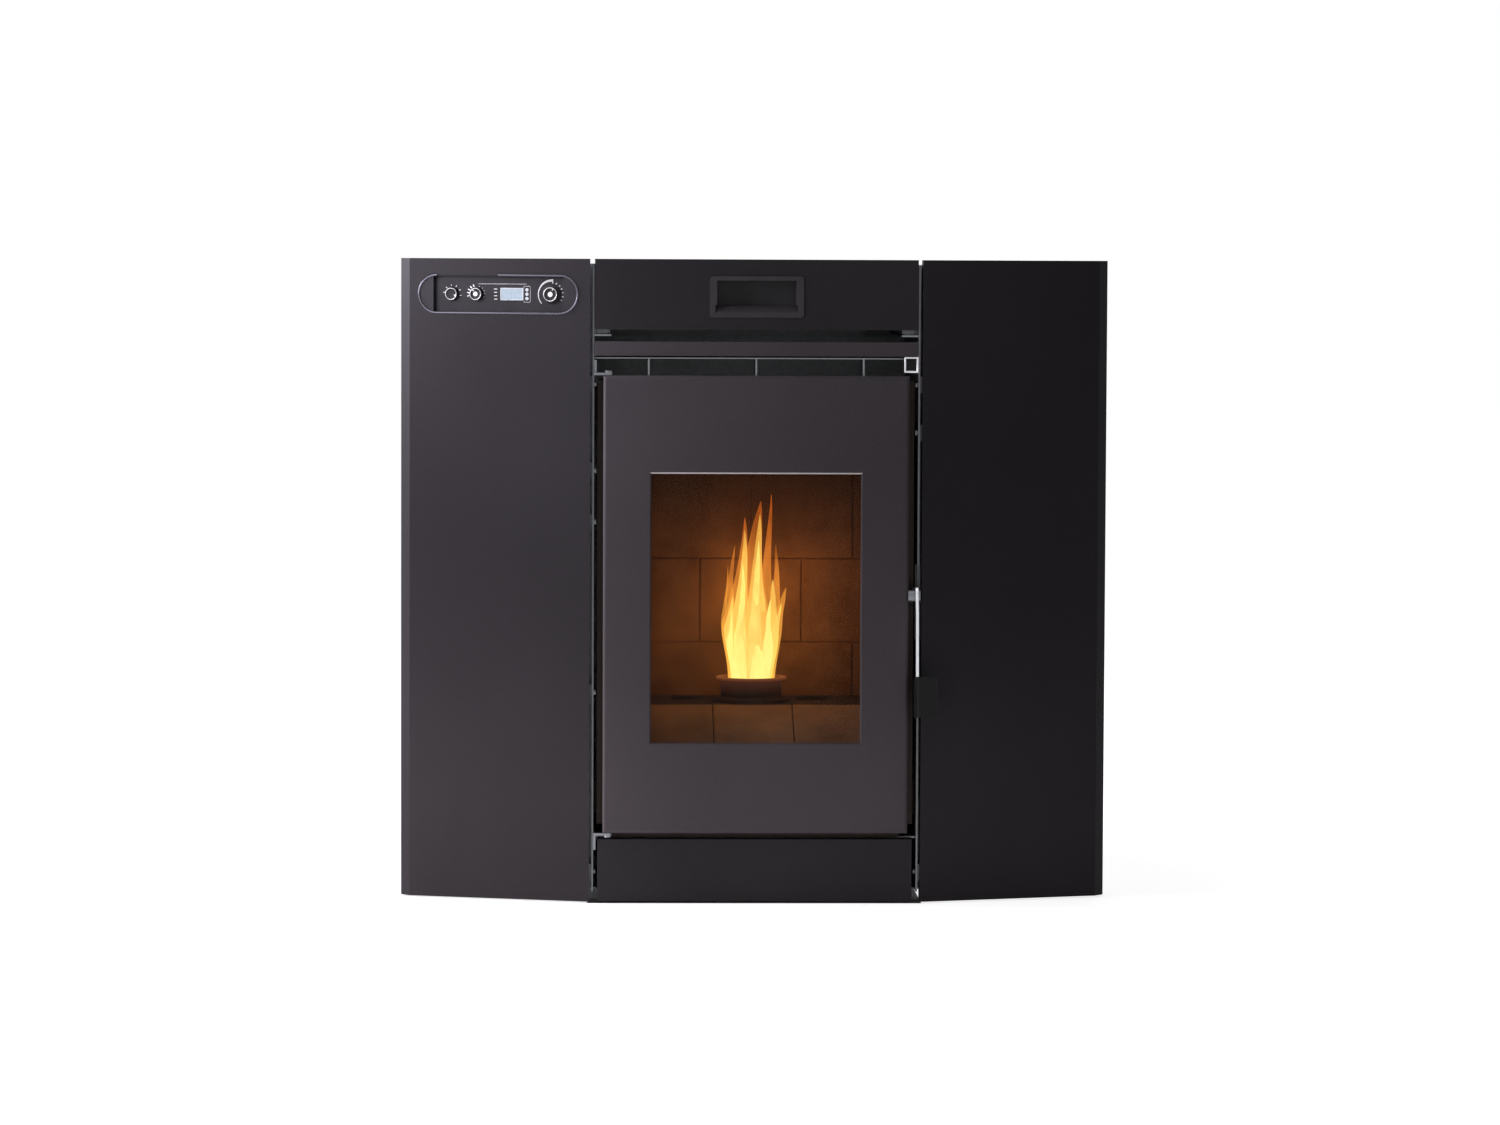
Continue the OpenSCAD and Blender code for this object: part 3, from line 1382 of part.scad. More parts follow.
module auger_tube() {
    bore_r = auger_tube_r - auger_tube_wall;
    wall = 2;
    color(steel_plain) placed() difference() {
        union() {
            rod_x(tube_x0, tube_x1, auger_y, auger_z, auger_tube_r);
            block(hopper_x0, throat_x1, throat_y0, throat_y1, auger_z, hopper_z0);
            for (x = [hopper_x0 + 6, throat_x1 - 10]) {
                block(x, x + 4, jacket_y + wall_sheet, auger_y, auger_z - 14, auger_z + 14);
            }
        }
        rod_x(tube_x0 + 3, tube_x1 - 3, auger_y, auger_z, bore_r);
        rod_x(tube_x0 - 1, tube_x1 + 1, auger_y, auger_z, auger_shaft_r + turn_fit);
        block(hopper_x0 + wall, throat_x1 - wall, throat_y0 + wall, throat_y1 - wall,
            auger_z + 4, hopper_z0 + 1);
        block(-chute_w / 2 + wall, chute_w / 2 - wall, chute_y0 + 8, chute_y1 - 8,
            auger_z - auger_tube_r - 1, auger_z - 4);
    }
}

// Helical flight along Z: one four-cornered ring of points every step of the turn
module flight(l, r0, r1, pitch, thickness) {
    steps = ceil(l / pitch * 16);
    rings = [
        for (i = [0 : steps]) let (z = i * l / steps) let (a = 360 * z / pitch) [
            [r0 * cos(a), r0 * sin(a), z], [r1 * cos(a), r1 * sin(a), z],
            [r1 * cos(a), r1 * sin(a), z + thickness], [r0 * cos(a), r0 * sin(a), z + thickness],
        ]
    ];
    sides = [
        for (i = [0 : steps - 1], k = [0 : 3]) let (a = 4 * i + k) let (b = 4 * i + (k + 1) % 4)
            each [[a, b, b + 4], [a, b + 4, a + 4]]
    ];
    last = 4 * steps;
    ends = [[0, 2, 1], [0, 3, 2], [last, last + 1, last + 2], [last, last + 2, last + 3]];
    polyhedron(points = [for (ring = rings) each ring], faces = concat(sides, ends));
}

// Feed screw; the shaft's left end sits in the gear motor
module auger_screw() {
    flight_r = auger_tube_r - auger_tube_wall - auger_play;
    flight_x0 = tube_x0 + 8;
    flight_t = 3.5;
    flight_l = chute_w / 2 - 8 - flight_x0;
    color(steel_plain) placed() {
        rod_x(tube_x0 - 22, tube_x1, auger_y, auger_z, auger_shaft_r);
        translate([flight_x0, auger_y, auger_z]) rotate([0, 90, 0])
            flight(flight_l, auger_shaft_r - 1, flight_r, auger_pitch, flight_t);
    }
}

// Gear motor on the tube's left end
module auger_motor() {
    plate_x = tube_x0 - 3;
    gear_x = plate_x - 44;
    end_x = case_sheet + 15 - case_x;
    color("#5c6166") placed() difference() {
        union() {
            block(plate_x, tube_x0, auger_y - 36, auger_y + 36, auger_z - 40, auger_z + 32);
            block(gear_x, plate_x, auger_y - 32, auger_y + 32, auger_z - 44, auger_z + 28);
            rod_x(end_x + 4, gear_x, auger_y, auger_z - 14, 27);
            rod_x(end_x, end_x + 4, auger_y, auger_z - 14, 20);
            for (y = [-30, 30], z = [-30, 22]) rod_x(tube_x0 - 8, tube_x0 + 4, auger_y + y, auger_z + z, 3);
        }
        rod_x(tube_x0 - 23, tube_x0 + 1, auger_y, auger_z, auger_shaft_r + turn_fit);
    }
}

module pellet_chute() {
    wall = 2;
    drop = chute_y1 - chute_end_y;
    span = chute_y1 - chute_y0;
    color(steel_plain) placed() difference() {
        union() {
            chute_prism(0);
            block(-chute_w / 2, chute_w / 2, chute_y0, chute_y1, chute_top_z - 0.01, auger_z);
        }
        along_x(-chute_w / 2 + wall, chute_w / 2 - wall) polygon([
            [chute_y0 + 2.8, chute_top_z], [chute_y1 - 2.8, chute_top_z],
            [chute_end_y - 1, chute_top_z - drop + 1.8], [chute_end_y - 1, chute_top_z - drop + span - 3.8],
        ]);
        block(-chute_w / 2 + wall, chute_w / 2 - wall, chute_y0 + 2.8, chute_y1 - 2.8,
            chute_top_z - 0.1, auger_z + 1);
        rod_x(-chute_w, chute_w, auger_y, auger_z, auger_tube_r);
    }
}

// Duct from the firebox roof down to the blower's side
module flue_duct() {
    s = duct_sheet;
    color(steel_plain) placed() difference() {
        union() {
            block(duct_x0, duct_x1, duct_y0, duct_y1, blower_z - 60, duct_z1);
            block(stub_x0, stub_x1, firebox_y1, duct_y0 + 1, stub_z0, stub_z1);
            rod_x(duct_x1 - 1, blower_x0, blower_y, blower_z, 34);
        }
        block(duct_x0 + s, duct_x1 - s, duct_y0 + s, duct_y1 - s, blower_z - 60 + s, duct_z1 - s);
        block(stub_x0 + s, stub_x1 - s, firebox_y1 - 1, duct_y0 + s + 1, stub_z0 + s, stub_z1 - s);
        rod_x(duct_x1 - s - 1, blower_x0 + 1, blower_y, blower_z, 32);
    }
}

// Scroll housing with its outlet spigot through the casing's back, and the motor on its side
module exhaust_blower() {
    s = 2.5;
    color("#a4a6a8") placed() difference() {
        union() {
            rod_x(blower_x0, blower_x1, blower_y, blower_z, blower_r);
            rod_y(blower_y, case_d + flue_reach, flue_x, flue_z, flue_r);
            rod_x(blower_x1, blower_x1 + 4, blower_y, blower_z, 44);
            rod_x(blower_x1 + 4, case_x - 12, blower_y, blower_z, 34);
            rod_y(case_inner_y - 4, case_inner_y, flue_x, flue_z, flue_r + 6);
            rod_y(case_d, case_d + collar_l, flue_x, flue_z, flue_r + 4);
        }
        rod_x(blower_x0 + s, blower_x1 - s, blower_y, blower_z, blower_r - s);
        rod_y(blower_y, case_d + flue_reach + 1, flue_x, flue_z, flue_r - flue_wall);
        rod_x(blower_x0 - 1, blower_x0 + s + 1, blower_y, blower_z, 32);
        rod_x(blower_x1 - s - 1, blower_x1 + 16, blower_y, blower_z, rotor_shaft_r + turn_fit);
    }
}

// Blade of a wheel: a curved strip from radius r0 to r1, swept back by an angle
module curved_blade(r0, r1, sweep, t) {
    outer = [
        for (k = [0 : 4]) let (r = r0 + (r1 - r0) * k / 4) let (a = sweep * pow(k / 4, 1.4))
            [r * cos(a), r * sin(a)]
    ];
    polygon(folded(outer, t));
}

// Centrifugal wheel of the exhaust blower
module exhaust_impeller() {
    wheel_r = blower_r - 15;
    x0 = blower_x0 + 16;
    x1 = blower_x1 - 9;
    color("#7d7f82") placed() {
        rod_x(x1 - 2, x1, blower_y, blower_z, wheel_r);
        rod_x(x1 - 20, blower_x1 + 12, blower_y, blower_z, rotor_shaft_r);
        rod_x(x1 - 18, x1, blower_y, blower_z, 12);
        difference() {
            rod_x(x0, x0 + 2, blower_y, blower_z, wheel_r);
            rod_x(x0 - 1, x0 + 3, blower_y, blower_z, 36);
        }
        for (i = [0 : impeller_blades - 1]) {
            along_x(x0 + 1, x1 - 1) translate([blower_y, blower_z]) rotate(i * 360 / impeller_blades)
                curved_blade(30, wheel_r - 0.5, 38, 1.5);
        }
    }
}

// Cross flow fan: scroll sheet, end plates and motor
module warm_air_fan() {
    s = 2;
    color("#a4a6a8") placed() {
        along_x(fan_x0 - 4, fan_x1 + 4) difference() {
            union() {
                translate([fan_y, fan_z]) circle(r = fan_shell_r + s);
                translate([jacket_y + wall_sheet, fan_mouth_z0 - s])
                    square([fan_y - jacket_y - wall_sheet, fan_mouth_h + 2 * s]);
            }
            translate([fan_y, fan_z]) circle(r = fan_shell_r);
            translate([jacket_y, fan_mouth_z0]) square([fan_y - jacket_y, fan_mouth_h]);
            translate([fan_y + 6, fan_z - fan_shell_r - 5]) square([fan_shell_r + 5, fan_shell_r + 25]);
        }
        difference() {
            union() {
                for (x = [fan_x0 - 6, fan_x1 + 4]) rod_x(x, x + 2, fan_y, fan_z, fan_shell_r + s);
                rod_x(fan_x0 - 56, fan_x0 - 6, fan_y, fan_z, 26);
            }
            rod_x(fan_x0 - 20, fan_x1 + 7, fan_y, fan_z, rotor_shaft_r + turn_fit);
        }
    }
}

// Cross flow wheel: forward-curved blades between three discs
module fan_wheel() {
    disc_t = 1.2;
    color("#7d7f82") placed() {
        rod_x(fan_x0 - 18, fan_x1 + 6, fan_y, fan_z, rotor_shaft_r);
        for (x = [fan_x0, (fan_x0 + fan_x1 - disc_t) / 2, fan_x1 - disc_t]) {
            rod_x(x, x + disc_t, fan_y, fan_z, fan_r);
        }
        for (i = [0 : fan_blades - 1]) {
            along_x(fan_x0 + 0.6, fan_x1 - 0.6) translate([fan_y, fan_z]) rotate(i * 360 / fan_blades)
                curved_blade(fan_r - 8, fan_r - 0.4, 14, 0.8);
        }
    }
}

// Mains inlet in the back of the casing
module power_inlet() {
    flange_t = 1.5;
    color("#202022") placed() translate([inlet_x, case_d, inlet_z]) difference() {
        union() {
            along_y(-18, 0) square([inlet_w, inlet_h], center = true);
            along_y(0, flange_t) round_rect(inlet_w + 14, inlet_h + 4, 2);
        }
        along_y(-15, flange_t + 1) square([inlet_w - 5, inlet_h - 5], center = true);
    }
}

left_side_panel();
right_side_panel();
panel_screws();
panel_stays();
control_bezel();
control_board();
display_window();
indicator_lights();
fan_speed_knob();
feed_rate_knob();
thermostat_knob();
door_frame();
door_glass();
glass_gasket();
glass_retainers();
retainer_screws();
door_rope_seal();
hinge_brackets();
hinge_pins();
latch_pivot();
latch_lever();
latch_grip();
latch_keeper();
loading_drawer_front();
handle_cup();
loading_tray();
loading_runners();
louvre_bar();
bar_bracket();
outlet_fins();
ash_drawer_front();
ash_tray();
front_frame();
firebox_shell();
hearth_tiles();
pot_shelf();
burn_pot();
side_liners();
fireback();
baffle_plate();
igniter();
air_intake_pipe();
inner_walls();
air_jacket();
base_pan();
levelling_feet();
casing_sides();
casing_back();
casing_top();
hopper();
auger_tube();
auger_screw();
auger_motor();
pellet_chute();
flue_duct();
exhaust_blower();
exhaust_impeller();
warm_air_fan();
fan_wheel();
power_inlet();
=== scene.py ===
import json
import math
import random

import bpy
from mathutils import Matrix, Vector


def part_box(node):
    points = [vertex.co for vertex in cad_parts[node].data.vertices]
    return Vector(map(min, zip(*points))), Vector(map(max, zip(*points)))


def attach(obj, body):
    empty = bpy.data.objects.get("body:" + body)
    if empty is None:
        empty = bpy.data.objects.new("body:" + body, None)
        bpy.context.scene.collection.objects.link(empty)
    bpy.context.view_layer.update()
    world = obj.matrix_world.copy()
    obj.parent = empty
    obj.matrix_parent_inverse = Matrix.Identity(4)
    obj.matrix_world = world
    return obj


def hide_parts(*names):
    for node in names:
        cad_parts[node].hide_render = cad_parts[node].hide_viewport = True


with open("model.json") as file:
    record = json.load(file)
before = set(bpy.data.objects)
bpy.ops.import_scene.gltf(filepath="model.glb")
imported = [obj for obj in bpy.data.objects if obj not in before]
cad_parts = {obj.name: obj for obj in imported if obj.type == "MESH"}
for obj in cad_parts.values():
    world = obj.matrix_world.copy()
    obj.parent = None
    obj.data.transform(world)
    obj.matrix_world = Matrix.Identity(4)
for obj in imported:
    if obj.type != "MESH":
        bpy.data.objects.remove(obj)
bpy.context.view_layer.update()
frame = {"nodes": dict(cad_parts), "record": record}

# ---------------------------------------------------------------- measures
# Lengths are in millimetres and Y counts from the front plane, unless a comment says otherwise.
MM = 0.001
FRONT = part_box("loading_drawer_front")[0].y
PANEL_ANGLE = math.radians(16.4)    # sweep of the side panels
INNER_X = 197.0                     # where the side panels start
RANDOM = random.Random(7)


def at(x, y, z):
    """The shared frame's point, in metres, for a place in millimetres from the front plane."""
    return Vector((x * MM, FRONT + y * MM, z * MM))


# The control bezel's own frame: X to the right along the panel, Y into it, Z up
BEZEL_ALONG, BEZEL_Z = 113.9, 722.7     # its centre, counted along the panel from its inner edge
BEZEL_CENTRE = at(-INNER_X - math.cos(PANEL_ANGLE) * BEZEL_ALONG, math.sin(PANEL_ANGLE) * BEZEL_ALONG, BEZEL_Z)
BEZEL = Matrix.Translation(BEZEL_CENTRE) @ Matrix.Rotation(-PANEL_ANGLE, 4, "Z")
BEZEL_FLOOR = 8.0                       # depth of the recess's floor
BEZEL_STRAIGHT, BEZEL_END_R = 75.9, 22.6  # half of the rim's straight run, and the radius of its ends
RECESS_HALF = 80.7                      # half of the recess's length


def on_bezel(x, y, z):
    """Place on the control bezel: X right and Z up from its centre, Y into the panel."""
    return BEZEL @ Matrix.Translation((x * MM, y * MM, z * MM))


# ---------------------------------------------------------------- modelling helpers
def clear_selection():
    bpy.ops.object.select_all(action="DESELECT")


def take(obj):
    """Makes the object the active one and the only one selected."""
    clear_selection()
    obj.select_set(True)
    bpy.context.view_layer.objects.active = obj
    return obj


def edit_all(obj):
    """Goes into edit mode with everything selected."""
    take(obj)
    bpy.ops.object.mode_set(mode="EDIT")
    bpy.ops.mesh.select_all(action="SELECT")


def leave_edit():
    bpy.ops.object.mode_set(mode="OBJECT")


def pick(obj, kind, chosen):
    """Goes into edit mode with only the chosen edges or faces selected, given by their indices."""
    leave_edit()
    mesh = obj.data
    for element in (*mesh.vertices, *mesh.edges, *mesh.polygons):
        element.select = False
    elements = mesh.edges if kind == "EDGE" else mesh.polygons
    for i in chosen:
        elements[i].select = True
    bpy.ops.object.mode_set(mode="EDIT")
    bpy.ops.mesh.select_mode(type=kind)


def from_front(point):
    """A mesh point in millimetres from the front plane."""
    return Vector((point.x / MM, (point.y - FRONT) / MM, point.z / MM))


def pick_faces(obj, test):
    """Selects in edit mode the faces for which test(centre, normal) holds."""
    pick(obj, "FACE", [f.index for f in obj.data.polygons if test(from_front(f.center), f.normal)])


def settle(obj):
    """Applies the place, so that the piece's object sits at the origin."""
    take(obj)
    bpy.ops.object.transform_apply(location=True, rotation=True, scale=True)
    return obj


def smooth(obj, angle=32):
    take(obj)
    bpy.ops.object.shade_smooth_by_angle(angle=math.radians(angle))
    return obj


def bevel(obj, width, segments=2, angle=30):
    """Rounds the edges sharper than an angle."""
    take(obj)
    mod = obj.modifiers.new("edges", "BEVEL")
    mod.width = width * MM
    mod.segments = segments
    mod.limit_method = "ANGLE"
    mod.angle_limit = math.radians(angle)
    mod.harden_normals = False
    bpy.ops.object.modifier_apply(modifier=mod.name)
    return obj


def rounded_edges(obj, test, width, segments):
    """Rounds the edges for which test(middle, direction, bend) holds; the bend is in radians."""
    take(obj)
    mesh = obj.data
    normals_at = {}
    for f in mesh.polygons:
        for key in f.edge_keys:
            normals_at.setdefault(key, []).append(f.normal)
    chosen = []
    for e in mesh.edges:
        a, b = (mesh.vertices[i].co for i in e.vertices)
        normals = normals_at.get(e.key, [])
        bend = normals[0].angle(normals[1]) if len(normals) == 2 else 0.0
        if test(from_front((a + b) / 2), (b - a).normalized(), bend):
            chosen.append(e.index)
    pick(obj, "EDGE", chosen)
    bpy.ops.mesh.bevel(offset=width * MM, segments=segments, clamp_overlap=True)
    leave_edit()
    return obj


def even_shading(obj):
    """Keeps the broad flat faces flat: shading follows the larger faces."""
    take(obj)
    mod = obj.modifiers.new("shading", "WEIGHTED_NORMAL")
    mod.keep_sharp = True
    mod.weight = 100
    bpy.ops.object.modifier_apply(modifier=mod.name)
    return obj


def dress(obj, name, body, material, replaces=()):
    """Names the piece and gives it its body and material, and hides the CAD nodes it stands for."""
    obj.name = name
    obj.data.name = name
    obj.data.materials.clear()
    obj.data.materials.append(material)
    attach(obj, body)
    if replaces:
        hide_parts(*replaces)
    return obj


def second_material(obj, material, test):
    """Gives another material to the faces for which test(face) holds."""
    obj.data.materials.append(material)
    for f in obj.data.polygons:
        if test(f):
            f.material_index = 1


def new_object(name, data):
    obj = bpy.data.objects.new(name, data)
    bpy.context.scene.collection.objects.link(obj)
    return obj


def copy_of_node(node):
    """A merged copy of a CAD node's mesh, with its flat faces whole again."""
    obj = new_object(node + "_copy", frame["nodes"][node].data.copy())
    edit_all(obj)
    bpy.ops.mesh.remove_doubles(threshold=0.02 * MM)
    bpy.ops.mesh.dissolve_limited(angle_limit=math.radians(0.8))
    leave_edit()
    return obj


def block(wide, deep, high, centre=(0, 0, 0)):
    """A box round a centre, which is counted from the origin."""
    clear_selection()
    bpy.ops.mesh.primitive_cube_add(size=1, location=[c * MM for c in centre])
    obj = bpy.context.active_object
    obj.scale = (wide * MM, deep * MM, high * MM)
    return settle(obj)


def disc_piece(radius, depth, segments):
    """A disc round the origin whose axis is Y: its front is at Y = 0 and it reaches back by its depth."""
    clear_selection()
    bpy.ops.mesh.primitive_cylinder_add(vertices=segments, radius=radius * MM, depth=depth * MM,
                                        location=(0, depth * MM / 2, 0), rotation=(math.pi / 2, 0, 0))
    return settle(bpy.context.active_object)


def ring_piece(radius, wire, segments):
    """A thin ring round the origin in the XZ plane."""
    clear_selection()
    bpy.ops.mesh.primitive_torus_add(major_segments=segments, minor_segments=8, major_radius=radius * MM,
                                     minor_radius=wire * MM, rotation=(math.pi / 2, 0, 0))
    return settle(bpy.context.active_object)


def moved(obj, matrix):
    obj.data.transform(matrix)
    return obj


def joined(objs):
    """One object out of several."""
    clear_selection()
    for o in objs:
        o.select_set(True)
    bpy.context.view_layer.objects.active = objs[0]
    bpy.ops.object.join()
    return bpy.context.active_object


def copies(obj, matrices):
    """The object repeated at several places, each with its own mesh, and joined."""
    made = []
    for m in matrices:
        twin = obj.copy()
        twin.data = obj.data.copy()
        bpy.context.scene.collection.objects.link(twin)
        made.append(moved(twin, m))
    bpy.data.objects.remove(obj)
    return joined(made)


# ---------------------------------------------------------------- material helpers
def tone(r, g, b):
    """Linear colour of an sRGB colour given from 0 to 255."""
    def line(v):
        v /= 255
        return v / 12.92 if v <= 0.04045 else ((v + 0.055) / 1.055) ** 2.4
    return (line(r), line(g), line(b), 1.0)


def shaded(color, factor, lift=0.0):
    """The colour made darker or lighter."""
    return tuple(c * factor + lift for c in color[:3]) + (1,)


def new_material(name):
    """An empty material with its node tree and its surface shader."""
    mat = bpy.data.materials.new(name)
    mat.use_nodes = True
    nt = mat.node_tree
    nt.nodes.clear()
    out = nt.nodes.new("ShaderNodeOutputMaterial")
    shader = nt.nodes.new("ShaderNodeBsdfPrincipled")
    nt.links.new(shader.outputs[0], out.inputs[0])
    return mat, nt, shader


def feed(nt, socket, value):
    """Gives an input a value or another node's output."""
    if isinstance(value, bpy.types.NodeSocket):
        nt.links.new(value, socket)
    else:
        socket.default_value = value


def add(nt, kind, inputs=(), **settings):
    """Adds a node with its settings and inputs."""
    n = nt.nodes.new(kind)
    for key, value in settings.items():
        setattr(n, key, value)
    for key, value in dict(inputs).items():
        feed(nt, n.inputs[key], value)
    return n


def finish_with(nt, shader, **inputs):
    """Feeds the surface shader; an underscore in a name stands for a space."""
    for key, value in inputs.items():
        feed(nt, shader.inputs[key.replace("_", " ")], value)


def place(nt, scale=(1, 1, 1), rotation=(0, 0, 0)):
    """The piece's own coordinates, stretched and turned."""
    coord = add(nt, "ShaderNodeTexCoord")
    return add(nt, "ShaderNodeMapping", {"Vector": coord.outputs["Object"], "Scale": scale,
                                         "Rotation": rotation}).outputs[0]


def height_of(nt, vector):
    return add(nt, "ShaderNodeSeparateXYZ", {"Vector": vector}).outputs["Z"]


def noise(nt, vector, scale, detail=3.0, rough=0.5):
    return add(nt, "ShaderNodeTexNoise", {"Vector": vector, "Scale": scale, "Detail": detail,
                                          "Roughness": rough}).outputs["Fac"]


def reckon(nt, operation, *values, clamp=False):
    """The result of a math node."""
    return add(nt, "ShaderNodeMath", enumerate(values), operation=operation, use_clamp=clamp).outputs[0]


def spread(nt, value, low, high, from_low=0.3, from_high=0.7):
    """Maps a value between two limits."""
    return add(nt, "ShaderNodeMapRange", {"Value": value, "From Min": from_low, "From Max": from_high,
                                          "To Min": low, "To Max": high}).outputs[0]


def mix(nt, factor, a, b):
    n = add(nt, "ShaderNodeMix", data_type="RGBA")
    for index, value in ((0, factor), (6, a), (7, b)):
        feed(nt, n.inputs[index], value)
    return n.outputs[2]


def ramp(nt, value, stops):
    n = add(nt, "ShaderNodeValToRGB", {"Fac": value})
    cr = n.color_ramp
    while len(cr.elements) > 1:
        cr.elements.remove(cr.elements[-1])
    cr.elements[0].position, cr.elements[0].color = stops[0]
    for position, color in stops[1:]:
        cr.elements.new(position).color = color
    return n.outputs[0]


def bump(nt, shader, height, distance):
    b = add(nt, "ShaderNodeBump", {"Height": height, "Distance": distance * MM})
    feed(nt, shader.inputs["Normal"], b.outputs[0])


# ---------------------------------------------------------------- finishes
# A noise's scale counts per metre, and a bump's distance is in millimetres.
def satin_paint(name, color, rough=0.42, grain=0.012, specular=0.2):
    """Baked satin paint: fine orange peel, a soft change of tone, and a fine pale speckle."""
    mat, nt, shader = new_material(name)
    v = place(nt)
    broad = noise(nt, v, 3.5, 2.0)
    fine = noise(nt, v, 900.0, 2.0)
    base = mix(nt, spread(nt, broad, 0, 1), shaded(color, 0.86), shaded(color, 1.14))
    base = mix(nt, spread(nt, fine, 0.0, 0.22), base, shaded(color, 1.7))
    streak = noise(nt, place(nt, scale=(1, 1, 0.15)), 40.0, 3.0)
    finish_with(nt, shader, Base_Color=base, Roughness=spread(nt, streak, rough - 0.04, rough + 0.05),
                Specular_IOR_Level=specular)
    bump(nt, shader, noise(nt, v, 1400.0, 2.0), grain)
    return mat


def galvanised(name, color):
    """Zinc-coated sheet with its spangle and rolling lines."""
    mat, nt, shader = new_material(name)
    v = place(nt)
    cells = add(nt, "ShaderNodeTexVoronoi", {"Vector": v, "Scale": 130.0, "Randomness": 1.0})
    flake = add(nt, "ShaderNodeSeparateColor", {"Color": cells.outputs["Color"]}).outputs[0]
    rolled = noise(nt, place(nt, scale=(1, 1, 60)), 9.0, 3.0)
    dark = shaded(color, 0.84)
    base = mix(nt, spread(nt, flake, 0, 1, 0, 1), dark, shaded(color, 1.14))
    finish_with(nt, shader, Base_Color=mix(nt, spread(nt, rolled, 0, 0.35), base, dark),
                Roughness=spread(nt, flake, 0.38, 0.48, 0, 1), Metallic=0.85)
    bump(nt, shader, rolled, 0.02)
    return mat


def brushed(name, color, rough=0.3, along=(1, 1, 0.03)):
    """Ground or plated metal with fine lines along one direction."""
    mat, nt, shader = new_material(name)
    lines = noise(nt, place(nt, scale=along), 1500.0, 4.0)
    broad = noise(nt, place(nt), 30.0, 2.0)
    dark = shaded(color, 0.78)
    base = mix(nt, spread(nt, lines, 0, 1), dark, color)
    finish_with(nt, shader, Base_Color=mix(nt, spread(nt, broad, 0, 0.3), base, dark),
                Roughness=spread(nt, lines, rough - 0.07, rough + 0.1), Metallic=1.0)
    bump(nt, shader, lines, 0.01)
    return mat


def moulding(name, color, rough=0.45):
    """Moulded plastic with a fine spark-eroded grain."""
    mat, nt, shader = new_material(name)
    v = place(nt)
    fine = noise(nt, v, 1800.0, 2.0)
    broad = noise(nt, v, 45.0, 3.0)
    light = shaded(color, 1.35, 0.002)
    finish_with(nt, shader, Base_Color=mix(nt, spread(nt, broad, 0, 0.7), color, light),
                Roughness=spread(nt, fine, rough - 0.06, rough + 0.08), Specular_IOR_Level=0.16)
    bump(nt, shader, fine, 0.03)
    return mat


def ceramic(name, color, soot, grain, scale, soot_from, soot_to):
    """Pressed fireclay or vermiculite: granular, and sooted between two heights given in metres."""
    mat, nt, shader = new_material(name)
    v = place(nt)
    grit = add(nt, "ShaderNodeTexVoronoi", {"Vector": v, "Scale": scale}).outputs["Distance"]
    broad = noise(nt, v, 14.0, 4.0, 0.6)
    dark = shaded(color, 0.66)
    base = mix(nt, spread(nt, broad, 0, 1), dark, shaded(color, 1.25))
    base = mix(nt, spread(nt, grit, 0.35, 0.0, 0.0, 0.5), base, dark)
    smoke = reckon(nt, "MULTIPLY", spread(nt, height_of(nt, v), 0, 1, soot_from, soot_to),
                   spread(nt, broad, 0.7, 1.2), clamp=True)
    finish_with(nt, shader, Base_Color=mix(nt, smoke, base, soot), Roughness=0.92, Specular_IOR_Level=0.2)
    bump(nt, shader, grit, grain)
    return mat


def cast(name, color, rust, rough=0.7, grain=0.35, firelight_heights=None):
    """Cast iron as it leaves the sand; the last argument holds the heights where a painted glow of firelight starts
    and is full.
    """
    mat, nt, shader = new_material(name)
    v = place(nt)
    pits = noise(nt, v, 700.0, 4.0, 0.7)
    bloom = noise(nt, v, 28.0, 4.0, 0.6)
    base = mix(nt, spread(nt, bloom, 0, 0.75, 0.4, 0.75), color, rust)
    finish_with(nt, shader, Base_Color=mix(nt, spread(nt, pits, 0.3, 0.0), base, shaded(color, 0.5)),
                Roughness=spread(nt, pits, rough - 0.1, rough + 0.1), Metallic=0.25)
    bump(nt, shader, pits, grain)
    # Painted light: emission that grows towards the pot's rim stands in for the fire's light on the pot.
    if firelight_heights:
        firelit_share = spread(nt, height_of(nt, v), 0, 1, firelight_heights[0] * MM, firelight_heights[1] * MM)
        glow = ramp(nt, firelit_share, [(0.0, (0, 0, 0, 1)), (0.75, tone(80, 42, 26)), (1.0, tone(160, 88, 44))])
        finish_with(nt, shader, Emission_Color=glow, Emission_Strength=1.2)
    return mat


def woven(name, color):
    """Knitted glass fibre."""
    mat, nt, shader = new_material(name)
    v = place(nt)
    pitch = 2.2 * MM
    rib = add(nt, "ShaderNodeTexWave", {"Vector": v, "Scale": 0.16 / pitch, "Distortion": 1.5, "Detail": 1.0},
              wave_type="BANDS", bands_direction="DIAGONAL").outputs["Fac"]
    fuzz = noise(nt, v, 1600.0, 3.0)
    dark = shaded(color, 0.55)
    finish_with(nt, shader, Base_Color=mix(nt, spread(nt, fuzz, 0, 0.4), mix(nt, rib, dark, color), dark),
                Roughness=0.95, Sheen_Weight=0.3)
    bump(nt, shader, rib, 0.5)
    return mat


def smoked_glass(name):
    """Heat-resisting glass, a little smoked, with faint wipe marks."""
    mat, nt, shader = new_material(name)
    wipe = noise(nt, place(nt, scale=(1, 1, 0.25), rotation=(0, 0.6, 0)), 9.0, 4.0, 0.6)
    smoke = mix(nt, spread(nt, wipe, 0, 1), tone(30, 22, 18), tone(44, 33, 27))
    finish_with(nt, shader, Base_Color=smoke, Roughness=spread(nt, wipe, 0.03, 0.12),
                Alpha=spread(nt, wipe, 0.26, 0.36), IOR=1.5, Specular_IOR_Level=0.06)
    bump(nt, shader, noise(nt, place(nt), 6.0, 1.0), 0.02)
    return mat


